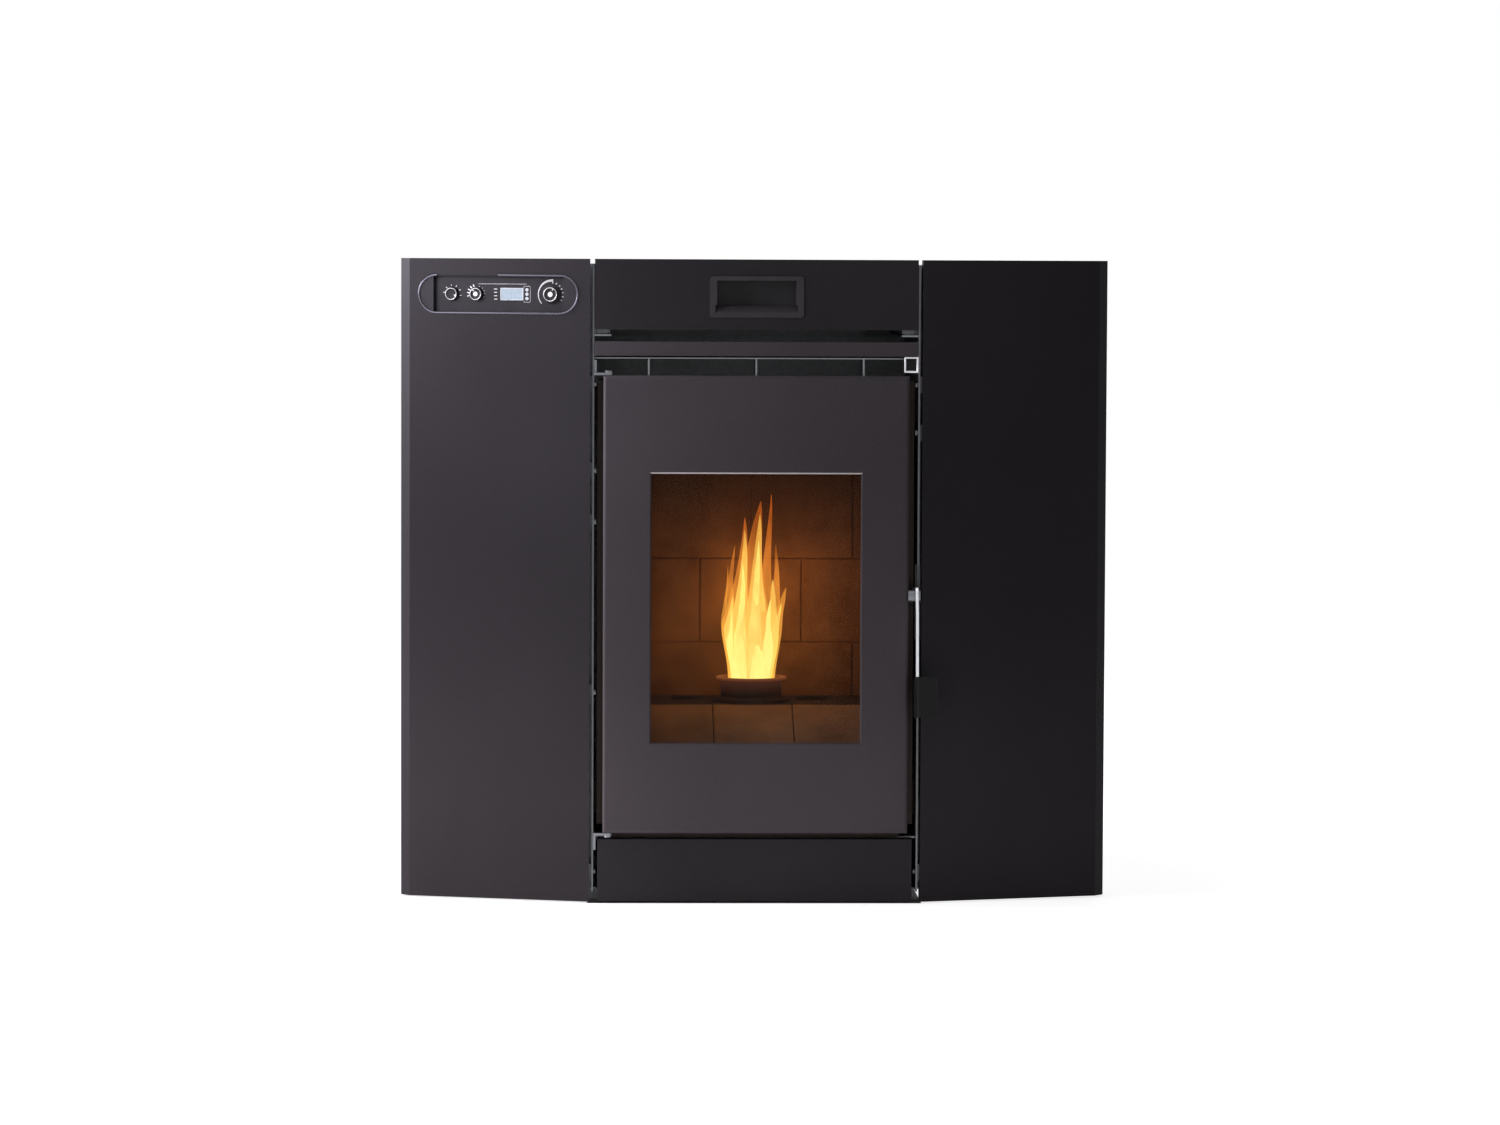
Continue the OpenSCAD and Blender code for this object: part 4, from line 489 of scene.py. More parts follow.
def glowing(name, color, strength, base):
    """A lit surface whose brightness changes a little from place to place."""
    mat, nt, shader = new_material(name)
    uneven = noise(nt, place(nt), 400.0, 2.0)
    finish_with(nt, shader, Emission_Color=mix(nt, spread(nt, uneven, 0, 1), shaded(color, 0.82), color),
                Emission_Strength=strength, Base_Color=base, Roughness=0.5)
    return mat


def ember(name):
    """Burning pellets: grey ash over a glowing body."""
    mat, nt, shader = new_material(name)
    n = noise(nt, place(nt), 160.0, 4.0, 0.7)
    ash = ramp(nt, n, [(0.35, tone(40, 30, 26)), (0.55, tone(120, 105, 95)), (0.75, tone(60, 45, 38))])
    glow = ramp(nt, n, [(0.36, tone(255, 190, 90)), (0.52, tone(235, 110, 30)), (0.66, tone(60, 12, 4))])
    finish_with(nt, shader, Base_Color=ash, Emission_Color=glow, Emission_Strength=1.1, Roughness=0.9)
    bump(nt, shader, n, 0.4)
    return mat


def flame_finish(name, low, high, alpha_low, alpha_high, z0, z1, strength):
    """Flame: colour and thickness change between two heights, torn by rising noise."""
    mat, nt, shader = new_material(name)
    rise = spread(nt, height_of(nt, place(nt)), 0, 1, z0 * MM, z1 * MM)
    torn = noise(nt, place(nt, scale=(1, 1, 0.28)), 85.0, 3.0, 0.6)
    thin = spread(nt, rise, alpha_low, alpha_high, 0, 1)
    finish_with(nt, shader, Emission_Color=mix(nt, rise, low, high), Emission_Strength=strength,
                Base_Color=(0, 0, 0, 1), Roughness=1.0, Specular_IOR_Level=0.0,
                Alpha=reckon(nt, "MULTIPLY", thin, spread(nt, torn, 0.45, 1.3), clamp=True))
    return mat


FRONT_PAINT = satin_paint("front_satin_paint", tone(52, 49, 52), rough=0.42, specular=0.04)
# The door and the louvre bar take a lighter copy of the front paint: painted light, for the stronger light that
# falls on them.
LIT_FRONT_PAINT = satin_paint("lit_front_satin_paint", tone(80, 75, 78), rough=0.44, specular=0.04)
CLEAN = (2.0, 3.0)      # soot heights above the whole insert, so that none shows
FINISH = {
    "front_steel": FRONT_PAINT,
    "bezel_moulding": moulding("bezel_moulding", tone(40, 38, 42), 0.42),
    "circuit_board": moulding("board_lacquer", tone(40, 86, 56), 0.35),
    "display": glowing("display_backlight", tone(187, 206, 227), 0.92, (0.02, 0.02, 0.02, 1)),
    "light_lens": glowing("light_lens", tone(205, 208, 214), 0.35, tone(180, 184, 190)),
    "knob_moulding": moulding("knob_moulding", tone(30, 29, 31), 0.4),
    "window_glass": smoked_glass("smoked_window_glass"),
    "flat_gasket": woven("flat_gasket_weave", tone(96, 92, 88)),
    "rope_seal": woven("rope_seal_braid", tone(120, 112, 102)),
    "zinc_steel": brushed("zinc_plate", tone(118, 120, 124), 0.36),
    "lever_steel": brushed("satin_nickel", tone(226, 226, 230), 0.24),
    "grip_moulding": moulding("grip_moulding", tone(10, 9, 10), 0.6),
    "handle_moulding": moulding("handle_moulding", tone(58, 55, 58), 0.30),
    "sheet_steel": galvanised("galvanised_sheet", tone(132, 134, 137)),
    "frame_paint": satin_paint("stove_paint_frame", tone(48, 40, 36), 0.6, grain=0.03),
    "firebox_plate": satin_paint("stove_paint_firebox", tone(60, 52, 47), 0.7, grain=0.04),
    "hearth_ceramic": ceramic("hearth_tile", tone(168, 140, 118), tone(70, 55, 45), 0.06, 500.0, *CLEAN),
    "liner_ceramic": ceramic("fire_liner", tone(150, 118, 92), tone(38, 28, 22), 0.10, 380.0, 0.40, 0.60),
    "shelf_iron": cast("shelf_cast_iron", tone(38, 34, 33), tone(82, 58, 44)),
    # The burn pot gets painted firelight near its rim.
    "pot_iron": cast("pot_cast_iron", tone(62, 50, 44), tone(120, 80, 52), firelight_heights=(238, 259)),
    "igniter_ceramic": ceramic("igniter_body", tone(200, 195, 184), tone(120, 110, 100), 0.05, 900.0, *CLEAN),
    "motor_paint": satin_paint("motor_paint", tone(84, 90, 95), 0.5),
    "cast_aluminium": cast("cast_aluminium", tone(160, 162, 165), tone(186, 188, 190), 0.5, 0.1),
    "wheel_aluminium": brushed("wheel_sheet", tone(150, 152, 155), 0.35),
    "foot_steel": brushed("foot_zinc", tone(140, 142, 146), 0.4),
    "inlet_moulding": moulding("inlet_moulding", tone(34, 34, 36), 0.5),
}

SLOT = {row["node"]: row["material_slot"] for row in frame["record"]["subparts"]}
BODY = {node: body for body, members in frame["record"]["behaviour"]["bodies"].items() for node in members}
for node, obj in frame["nodes"].items():
    obj.data.materials.clear()
    obj.data.materials.append(FINISH[SLOT[node]])


# ---------------------------------------------------------------- pieces made from the solids
def stand_in(obj, node, name, material=None):
    """Dresses a reworked copy of a node, which takes the node's place."""
    return dress(obj, name, BODY[node], material or FINISH[SLOT[node]], [node])


def finished(node, name, width, segments=2, angle=30, material=None):
    """A node's own shape with its edges rounded as the real piece has them."""
    obj = copy_of_node(node)
    bevel(obj, width, segments, angle)
    smooth(obj)
    even_shading(obj)
    return stand_in(obj, node, name, material)


GLASS_LO, GLASS_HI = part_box("door_glass")
GLASS_LAP = 10.0        # how far the glass reaches behind the door on each side
WINDOW_HALF = GLASS_HI.x / MM - GLASS_LAP
WINDOW_LOW, WINDOW_HIGH = GLASS_LO.z / MM + GLASS_LAP, GLASS_HI.z / MM - GLASS_LAP
WINDOW_CHAMFER = 3.0    # width searched round the opening for its bevelled edge
ROUND_DEPTH = 2.5       # the door's edges nearer to the front plane than this are drawn round
SHARP_BEND = 0.5        # radians from which an edge counts as sharp


def on_window_head(f):
    """The chamfer at the window opening's upper side, which faces forward and down."""
    n, spot = f.normal, f.center / MM
    chamfer = -0.95 < n.y < -0.25 and abs(spot.x) < WINDOW_HALF + WINDOW_CHAMFER
    return chamfer and WINDOW_LOW - WINDOW_CHAMFER < spot.z < WINDOW_HIGH + WINDOW_CHAMFER and n.z < -0.3


def door_pressing():
    """The door with its front edges drawn round, and a painted highlight of bright metal on the chamfer over the
    window.
    """
    door = copy_of_node("door_frame")
    rounded_edges(door, lambda mid, along, bend: mid.y < ROUND_DEPTH and bend > SHARP_BEND, width=0.9, segments=4)
    smooth(door)
    even_shading(door)
    stand_in(door, "door_frame", "door_pressing", LIT_FRONT_PAINT)
    # Painted highlight: the chamfer over the window gets a bright metal finish, not a real ground edge.
    second_material(door, brushed("window_head_painted_highlight", tone(196, 190, 190), 0.36), on_window_head)


def right_of_recess(spot, along, bend):
    """The upright front edge at the right end of the control panel's recess."""
    here = BEZEL.inverted() @ at(*spot)
    at_the_end = abs(here.x / MM - RECESS_HALF) < 0.6 and here.y / MM < 1.5
    return at_the_end and abs(along.z) > 0.9 and bend > SHARP_BEND


# Satin metal for the bezel's rim, also used as a painted highlight on the right edge of the bezel's recess.
RIM_METAL_AND_PAINTED_HIGHLIGHT = brushed("rim_metal_and_painted_highlight", tone(84, 82, 90), 0.30)


def bezel_shell():
    """The control bezel with the edge at its right end rounded, and a painted highlight of bright metal on that
    edge.
    """
    shell = copy_of_node("control_bezel")
    rounded_edges(shell, right_of_recess, width=1.9, segments=4)
    bevel(shell, 0.35, 2, 32)
    smooth(shell)
    even_shading(shell)
    stand_in(shell, "control_bezel", "bezel_moulding_shell")
    into_bezel = BEZEL.inverted()

    # The faces of the rounded right edge, which take the painted highlight.
    def bright(f):
        spot, n = into_bezel @ f.center / MM, into_bezel.to_3x3() @ f.normal
        return abs(spot.x - RECESS_HALF) < 2.4 and spot.y < 3.5 and n.x < -0.25 and n.y < -0.1 and abs(n.z) < 0.2

    second_material(shell, RIM_METAL_AND_PAINTED_HIGHLIGHT, bright)


BRACKET_FRONT = (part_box("bar_bracket")[0].y - FRONT) / MM
BRACKET_RIM, BRACKET_SLOPE, BRACKET_SUNK = 1.7, 0.6, 1.0    # width of its rim, of the slope, and the centre's depth


def bracket_plate():
    """The bright bracket at the louvre bar's end, with a dark sunk centre."""
    bracket = copy_of_node("bar_bracket")
    pick_faces(bracket, lambda c, n: n.y < -0.9 and c.y < BRACKET_FRONT + 0.5)
    bpy.ops.mesh.inset(thickness=BRACKET_RIM * MM, depth=0)
    bpy.ops.mesh.inset(thickness=BRACKET_SLOPE * MM, depth=-BRACKET_SUNK * MM)
    leave_edit()
    bevel(bracket, 0.3, 2, 30)
    smooth(bracket, 35)
    stand_in(bracket, "bar_bracket", "bar_bracket_plate", FINISH["lever_steel"])
    sunk = FRONT + (BRACKET_FRONT + 0.6 * BRACKET_SUNK) * MM
    second_material(bracket, FINISH["grip_moulding"], lambda f: f.normal.y < -0.9 and f.center.y > sunk)


door_pressing()
finished("left_side_panel", "left_panel_folded", 0.7, 3, 22)
finished("right_side_panel", "right_panel_folded", 0.7, 3, 22)
finished("loading_drawer_front", "loading_front_folded", 0.7, 3, 25)
finished("louvre_bar", "louvre_bar_folded", 0.7, 3, 25, LIT_FRONT_PAINT)
finished("ash_drawer_front", "ash_front_folded", 0.7, 3, 25)
finished("handle_cup", "finger_recess_moulding", 1.4, 4, 25)
bezel_shell()
finished("latch_lever", "latch_lever_plate", 0.5)
finished("latch_grip", "latch_grip_moulding", 1.1, 4)
bracket_plate()
finished("hinge_brackets", "hinge_bracket_plates", 0.4)
finished("front_frame", "front_frame_folded", 0.4)
finished("burn_pot", "burn_pot_casting", 0.8, 2, 35)
finished("pot_shelf", "pot_shelf_casting", 0.8, 2, 35)
finished("hearth_tiles", "hearth_tile_bodies", 0.9)
finished("side_liners", "side_liner_slabs", 0.8)
finished("fireback", "fireback_slab", 0.7)
# The inner walls take a darker zinc than the other sheets: painted shade for the gaps beside the door and drawers.
finished("inner_walls", "inner_wall_sheets", 0.3, material=galvanised("inner_wall_sheet", tone(92, 93, 96)))
finished("ash_tray", "ash_tray_folded", 0.3)
finished("loading_tray", "loading_tray_folded", 0.3)


# ---------------------------------------------------------------- control panel
RIM_WIRE, RIM_SUNK = 1.5, 0.15      # radius of the rim's section, and how deep its centre lies
RIM_END_STEPS = 20


def bezel_rim():
    """Round rim drawn along the stadium of the control panel."""
    def onward(x):
        bpy.ops.mesh.extrude_region_move(TRANSFORM_OT_translate={"value": (x * MM, 0, 0)})

    def round_end(x):
        bpy.ops.mesh.spin(steps=RIM_END_STEPS, angle=math.pi, center=(x * MM, 0, 0), axis=(0, 1, 0))

    clear_selection()
    bpy.ops.mesh.primitive_circle_add(vertices=12, radius=RIM_WIRE * MM, location=(0, 0, BEZEL_END_R * MM),
                                      rotation=(0, math.pi / 2, 0))
    rim = settle(bpy.context.active_object)
    edit_all(rim)
    onward(-BEZEL_STRAIGHT)
    round_end(-BEZEL_STRAIGHT)
    onward(2 * BEZEL_STRAIGHT)
    round_end(BEZEL_STRAIGHT)
    onward(-BEZEL_STRAIGHT)
    bpy.ops.mesh.select_all(action="SELECT")
    bpy.ops.mesh.remove_doubles(threshold=0.01 * MM)
    bpy.ops.mesh.normals_make_consistent(inside=False)
    leave_edit()
    smooth(rim, 40)
    moved(rim, on_bezel(0, RIM_SUNK, 0))
    dress(rim, "bezel_rim", "chassis", RIM_METAL_AND_PAINTED_HIGHLIGHT)


PRINT = satin_paint("printed_marks", tone(222, 220, 222), 0.5)
PALE_CAP = brushed("pale_cap", tone(206, 200, 204), 0.35, (1, 1, 1))
SCREEN_RIM = satin_paint("screen_rim", tone(214, 214, 220), 0.45)
# node: piece, place along the bezel, radius of the grip, of the skirt and of the cap's dot, pointer's turn
KNOBS = {
    "fan_speed_knob": ("fan_knob_fluted", -59.3, 7.2, 7.2, 0.0, 1.9),
    "feed_rate_knob": ("feed_knob_fluted", -28.9, 7.2, 7.2, 2.6, -0.6),
    "thermostat_knob": ("thermostat_knob_fluted", 63.9, 8.4, 11.4, 3.0, 0.5),
}
FAN_X, FEED_X, ROOM_X = (row[1] for row in KNOBS.values())
KNOB_H, SKIRT_T, GRIP_H = 6.0, 1.5, 4.6     # whole knob, its skirt and its grip, along the axis
KNOB_SIDES = 56
FLUTE_EVERY, FLUTE_EDGE, FLUTE_DEPTH = 4, 0.12, 0.5     # sides from one flute to the next, its edge and depth
CAP_LIP, CAP_SLOPE, CAP_DISH, CAP_STEP = 1.0, 0.8, 0.5, 1.6     # rings of the dished cap; the third is its depth
POINTER = (0.9, 0.3, 2.6)
CAP_FRONT = BEZEL_FLOOR - KNOB_H


def fluted_knob(node):
    """A turned knob: skirt, fluted grip and dished cap, with a pale ring, dot and pointer."""
    name, x, r, skirt_r, dot_r, turn = KNOBS[node]
    skirt = bevel(disc_piece(skirt_r, SKIRT_T, KNOB_SIDES), 0.3)
    moved(skirt, Matrix.Translation((0, (KNOB_H - SKIRT_T) * MM, 0)))
    grip = disc_piece(r, GRIP_H, KNOB_SIDES)
    side = [f.index for f in grip.data.polygons if abs(f.normal.y) < 0.5]
    pick(grip, "FACE", side[::FLUTE_EVERY])
    bpy.ops.mesh.inset(thickness=FLUTE_EDGE * MM, depth=-FLUTE_DEPTH * MM, use_individual=True)
    leave_edit()
    pick_faces(grip, lambda c, n: n.y < -0.9)
    bpy.ops.mesh.inset(thickness=CAP_LIP * MM, depth=0)
    bpy.ops.mesh.inset(thickness=CAP_SLOPE * MM, depth=-CAP_DISH * MM)
    bpy.ops.mesh.inset(thickness=CAP_STEP * MM, depth=0)
    leave_edit()
    bevel(grip, 0.22, 2, 40)
    knob = smooth(joined([skirt, grip]), 35)
    moved(knob, on_bezel(x, CAP_FRONT, 0))
    stand_in(knob, node, name)
    parts = [ring_piece(r - 0.5, 0.5, KNOB_SIDES)]
    if dot_r:
        parts.append(disc_piece(dot_r, 0.5, 32))
    parts.append(bevel(block(*POINTER, (0, 0, r - 2.0)), 0.1, 1))
    caps = smooth(joined(parts), 40)
    moved(caps, on_bezel(x, CAP_FRONT - 0.12, 0) @ Matrix.Rotation(turn, 4, "Y"))
    dress(caps, name + "_ring", BODY[node], PALE_CAP)


bezel_rim()
for node in KNOBS:
    fluted_knob(node)

PRINT_T = 0.2                       # thickness of the printed marks, made thick enough to render
PRINT_Y = BEZEL_FLOOR - PRINT_T / 2


def dash(length, width):
    """A printed dash along X."""
    return bevel(block(length, PRINT_T, width), 0.08, 1)


def radial_dashes(x, r, length, width, angles):
    """Dashes round a knob; an angle of 0 points to the right and 90 up."""
    marks = []
    for t in map(math.radians, angles):
        marks.append(on_bezel(x + r * math.cos(t), PRINT_Y, r * math.sin(t)) @ Matrix.Rotation(-t, 4, "Y"))
    return copies(dash(length, width), marks)


def scale_arc(x, r, width, start, end):
    """A printed arc that grows thicker along its way."""
    steps, thin, grown = 40, 0.4, 1.5
    first = math.radians(start)
    arc = block(width * thin, PRINT_T, 0.1)
    moved(arc, Matrix.Rotation(-first, 4, "Y") @ Matrix.Translation((r * MM, 0, 0)))
    ahead = Vector((-math.sin(first), 0, math.cos(first))) * (1 if end > start else -1)
    pick_faces(arc, lambda c, n: n.dot(ahead) > 0.9)
    turn = math.radians(end - start) / steps
    grow = 1 + grown / steps
    for i in range(steps):
        angle = first + turn * i
        centre = Vector((r * MM * math.cos(angle), 0, r * MM * math.sin(angle)))
        after = Vector((r * MM * math.cos(angle + turn), 0, r * MM * math.sin(angle + turn)))
        bpy.ops.mesh.extrude_region_move(TRANSFORM_OT_translate={"value": after - centre})
        bpy.ops.transform.rotate(value=turn, orient_axis="Y", center_override=after)
        bpy.ops.transform.resize(value=(grow, 1, grow), center_override=after)
    leave_edit()
    return moved(arc, on_bezel(x, PRINT_Y, 0))


def straight_mark(x0, x1, z, width):
    return moved(dash(x1 - x0, width), on_bezel((x0 + x1) / 2, PRINT_Y, z))


def hollowed(obj, line):
    """Turns a plate that faces along Y into a frame of the given line width."""
    pick_faces(obj, lambda c, n: abs(n.y) > 0.9)
    bpy.ops.mesh.inset(thickness=line * MM)
    bpy.ops.mesh.bridge_edge_loops()
    leave_edit()
    return obj


def printed_frame(x, w, h, line):
    """Outline of a printed rounded rectangle."""
    obj = block(w, PRINT_T, h)
    corners = []
    for e in obj.data.edges:
        a, b = (obj.data.vertices[i].co for i in e.vertices)
        if abs(a.y - b.y) > PRINT_T / 2 * MM:
            corners.append(e.index)
    pick(obj, "EDGE", corners)
    bpy.ops.mesh.bevel(offset=1.4 * MM, segments=5)
    leave_edit()
    return moved(hollowed(obj, line), on_bezel(x, PRINT_Y, 0))


# For the dashes x, radius, length, width and angles, and for the arc x, radius, width, start and end
marks = [
    radial_dashes(FAN_X, 10.4, 2.2, 0.9, range(-10, 171, 36)),
    radial_dashes(FEED_X, 10.6, 3.0, 1.5, range(112, 200, 20)),
    radial_dashes(FEED_X, 9.8, 1.2, 0.6, range(-20, 90, 22)),
    radial_dashes(ROOM_X, 13.9, 2.2, 1.0, range(-30, 86, 19)),
    scale_arc(ROOM_X, 16.4, 1.9, 222, 84),
    straight_mark(-27.0, 33.0, 12.0, 0.45),
    printed_frame(33.5, 8.4, 19.5, 0.45),
]
# Four short bars left of the display
for row in range(4):
    marks.append(straight_mark(-7.4, -3.6, 6.0 - 4.0 * row, 1.0))
dress(joined(marks), "printed_panel_marks", "chassis", PRINT)

# Raised rim round the display: its place, its size along X, Y and Z, and its width
SCREEN_X, SCREEN_Y = 15.1, BEZEL_FLOOR - 0.75
SCREEN_SIZE, SCREEN_LINE = (28.4, 1.4, 14.8), 1.1
surround = smooth(bevel(hollowed(block(*SCREEN_SIZE), SCREEN_LINE), 0.35, 3))
moved(surround, on_bezel(SCREEN_X, SCREEN_Y, 0))
dress(surround, "screen_surround", "chassis", SCREEN_RIM)

# ---------------------------------------------------------------- the fire
POT_Y, RIM_Z = 165.0, 258.0         # the burn pot's axis and the height of its rim
FLAME_FOOT = RIM_Z - 6
FLAME_DEPTH = 0.62                  # a tongue's depth as a share of its width
FLAME_STEPS, FLAME_SIDES = 16, 14
FLAME_TAPER, FLAME_WAIST = 0.8, 0.25    # how fast a tongue thins over its bulge, and how far it draws in there
FLAME_WAVE = 7.0                    # radians that its sway runs through from foot to tip
FLAME_TIP_R = 0.25


def tongue(foot_x, foot_back, foot_r, bulge_x, bulge_z, bulge_r, tip_x, tip_z, sway, phase):
    """One flame tongue, drawn upward ring by ring from its foot in the pot to its tip."""
    foot_y = POT_Y + foot_back
    clear_selection()
    bpy.ops.mesh.primitive_circle_add(vertices=FLAME_SIDES, radius=foot_r * MM, fill_type="NGON",
                                      location=at(foot_x, foot_y, FLAME_FOOT))
    obj = bpy.context.active_object
    obj.scale = (1, FLAME_DEPTH, 1)
    settle(obj)
    edit_all(obj)
    z_last, r_last, x_last = FLAME_FOOT, foot_r, foot_x
    share = (bulge_z - RIM_Z) / (tip_z - RIM_Z)
    for i in range(1, FLAME_STEPS + 1):
        t = i / FLAME_STEPS
        z = FLAME_FOOT + (tip_z - FLAME_FOOT) * t
        if t < share:
            k = t / share
            k = k * k * (3 - 2 * k)
            x, r = foot_x + (bulge_x - foot_x) * k, foot_r + (bulge_r - foot_r) * k
        else:
            k = (t - share) / (1 - share)
            x = bulge_x + (tip_x - bulge_x) * k
            r = bulge_r * (1 - k) ** FLAME_TAPER * (1 - FLAME_WAIST * math.sin(k * math.pi))
        x += sway * math.sin(t * FLAME_WAVE + phase) * t
        r = max(r, FLAME_TIP_R)
        step = ((x - x_last) * MM, 0, (z - z_last) * MM)
        bpy.ops.mesh.extrude_region_move(TRANSFORM_OT_translate={"value": step})
        bpy.ops.transform.resize(value=(r / r_last, r / r_last, 1), center_override=at(x, foot_y, z))
        z_last, r_last, x_last = z, r, x
    bpy.ops.mesh.select_all(action="SELECT")
    bpy.ops.mesh.normals_make_consistent(inside=False)
    leave_edit()
    return smooth(obj, 60)


# piece: its finish, then for each tongue the foot (x, back, radius), bulge (x, z, radius), tip (x, z),
# sway and phase
FLAMES = {
    "flame_edges": (
        flame_finish("flame_edge", tone(250, 182, 72), tone(228, 104, 26), 0.60, 0.26, RIM_Z, 470, 2.3), (
            (0, 0, 20, 0, 326, 25, 8.5, 472, 3.0, 0.3),
            (13, 4, 11, 19, 352, 9, 21.5, 480, 2.6, 1.2),
            (-13, 2, 12, -15, 345, 13, -9, 452, 2.4, 2.1),
            (-17, -3, 8, -25, 352, 6, -22.5, 417, 2.6, 0.2),
            (-18, -1, 10, -26.5, 324, 9.5, -25, 366, 1.6, 1.0),
            (19, -2, 9, 27, 350, 7, 31, 418, 2.8, 3.1),
            (19, 2, 10, 28, 322, 10, 41.5, 366, 1.2, 2.0),
            (-23, 6, 5, -33, 330, 3, -30, 392, 2.0, 1.7))),
    "flame_bodies": (
        flame_finish("flame_body", tone(252, 214, 104), tone(250, 190, 82), 0.80, 0.60, RIM_Z, 430, 2.5), (
            (6, -4, 13, 7, 340, 13, 8, 456, 2.0, 0.9),
            (-11, -5, 11, -12, 334, 11, -9.5, 436, 2.0, 2.0),
            (17, -4, 9, 23, 322, 9.5, 27, 376, 1.8, 3.2),
            (-18, -6, 7, -26, 320, 7, -24, 356, 1.4, 0.5),
            (19, -6, 6, 28, 310, 6, 35, 348, 1.4, 1.4))),
    "flame_cores": (
        flame_finish("flame_core", tone(254, 234, 132), tone(252, 226, 116), 0.95, 0.80, RIM_Z, 390, 2.5), (
            (5, -8, 10, 5, 312, 9.5, 7, 424, 1.4, 1.1),
            (-12, -9, 8, -13, 308, 8, -11, 396, 1.4, 2.4),
            (15, -9, 7, 20, 302, 7, 22, 352, 1.2, 0.1),
            (-20, -9, 4, -26, 306, 4, -25, 338, 1.0, 1.9))),
}
for name, (finish, rows) in FLAMES.items():
    dress(joined([tongue(*row) for row in rows]), name, "pot", finish)


PELLET_R, PELLET_L = 3, 14


def pellet():
    """A pressed wood pellet with broken ends."""
    clear_selection()
    bpy.ops.mesh.primitive_cylinder_add(vertices=10, radius=PELLET_R * MM, depth=PELLET_L * MM)
    obj = bpy.context.active_object
    pick_faces(obj, lambda c, n: abs(n.z) > 0.9)
    bpy.ops.mesh.inset(thickness=0.7 * MM, depth=0.3 * MM, use_individual=True)
    leave_edit()
    return smooth(obj, 40)


PELLET_LAYERS = ((12, 25), (10, 27), (8, 24))   # pellets in a layer and how far out they lie
LOWEST_LAYER, LAYER_RISE = RIM_Z - 17, 5.5
places = []
for layer, (count, reach) in enumerate(PELLET_LAYERS):
    for i in range(count):
        a = 2 * math.pi * i / count + layer * 0.5
        r = reach * (0.35 + 0.6 * RANDOM.random())
        spot = at(r * math.cos(a), POT_Y + r * math.sin(a), LOWEST_LAYER + layer * LAYER_RISE)
        turned = Matrix.Rotation(RANDOM.uniform(0, math.tau), 4, "Z")
        tilted = Matrix.Rotation(RANDOM.uniform(1.1, 1.8), 4, "X")
        places.append(Matrix.Translation(spot) @ turned @ tilted)
dress(copies(pellet(), places), "burning_pellets", "pot", ember("burning_pellets"))

# ---------------------------------------------------------------- rope seal
ROPE_HALF, ROPE_LOW, ROPE_HIGH, ROPE_Y = 163.5, 102.2, 610.0, 8.85     # the rope's centre line
ROPE_CORNER = 9.0
ROPE_LAY, LAY_STEPS = 13.0, 9           # length of one twist and its steps
STRAND_OUT, STRAND_R = 2.25, 2.5        # how far a strand lies off the centre line, and its radius
STRANDS = 3


def rope_route():
    """Points along the channel's centre line, all the way round and back to the first."""
    inner_x, low, high = ROPE_HALF - ROPE_CORNER, ROPE_LOW + ROPE_CORNER, ROPE_HIGH - ROPE_CORNER
    route = []
    for cx, cz, start in ((inner_x, high, 0), (-inner_x, high, 90), (-inner_x, low, 180), (inner_x, low, 270)):
        for k in range(7):
            t = math.radians(start + 15 * k)
            route.append(Vector((cx + ROPE_CORNER * math.cos(t), ROPE_Y, cz + ROPE_CORNER * math.sin(t))))
    return route + [route[0].copy()]


def strand(s, route):
    """One strand, winding round the route."""
    total = sum((b - a).length for a, b in zip(route, route[1:]))
    turns = round(total / ROPE_LAY)
    steps = turns * LAY_STEPS
    points, seg, done = [], 0, 0.0
    for i in range(steps):
        want = total * i / steps
        while want > done + (route[seg + 1] - route[seg]).length:
            done += (route[seg + 1] - route[seg]).length
            seg += 1
        a, b = route[seg], route[seg + 1]
        d = (b - a).normalized()
        side = Vector((-d.z, 0, d.x))
        t = math.tau * (turns * i / steps + s / STRANDS)
        off = side * STRAND_OUT * math.cos(t) + Vector((0, STRAND_OUT, 0)) * math.sin(t)
        points.append(a + d * (want - done) + off)
    curve = bpy.data.curves.new(f"strand_{s}", "CURVE")
    curve.dimensions = "3D"
    spline = curve.splines.new("POLY")
    spline.points.add(len(points) - 1)
    for q, p in zip(spline.points, points):
        q.co = (*at(*p), 1)
    spline.use_cyclic_u = True
    curve.bevel_depth = STRAND_R * MM
    curve.bevel_resolution = 1
    take(new_object(f"strand_{s}", curve))
    bpy.ops.object.convert(target="MESH")
    return bpy.context.active_object


rope = smooth(joined([strand(s, rope_route()) for s in range(STRANDS)]), 60)
dress(rope, "door_rope_strands", "door", FINISH["rope_seal"], ["door_rope_seal"])

# ---------------------------------------------------------------- screws
HEAD_R, HEAD_H = 3.6, 2.0
CROSS_W, CROSS_TURN = HEAD_R * 0.22, 0.4    # width of the recess's bars, and their turn in radians


def pan_screw():
    """Pan head with a cross recess, its axis along Y and its seat at Y = 0."""
    head = disc_piece(HEAD_R, HEAD_H, 24)
    moved(head, Matrix.Translation((0, -HEAD_H * MM, 0)))
    pick_faces(head, lambda c, n: n.y < -0.9)
    bpy.ops.mesh.inset(thickness=HEAD_R * 0.18 * MM, depth=0)
    bpy.ops.mesh.inset(thickness=CROSS_W * MM, depth=0.25 * MM)
    leave_edit()
    bevel(head, 0.5, 2, 40)
    for turn in (0.0, math.pi / 2):
        bar = block(HEAD_R, 1.6, CROSS_W, (0, -2.3, 0))
        moved(bar, Matrix.Rotation(turn + CROSS_TURN, 4, "Y"))
        take(head)
        cut = head.modifiers.new("recess", "BOOLEAN")
        cut.operation = "DIFFERENCE"
        cut.solver = "EXACT"
        cut.object = bar
        bpy.ops.object.modifier_apply(modifier=cut.name)
        bpy.data.objects.remove(bar)
    return smooth(head, 35)


def screws(name, spots, turn):
    """One piece of all the screws that hold a casing sheet."""
    heads = copies(pan_screw(), [Matrix.Translation(at(*spot)) @ turn for spot in spots])
    dress(heads, name, "chassis", FINISH["zinc_steel"])


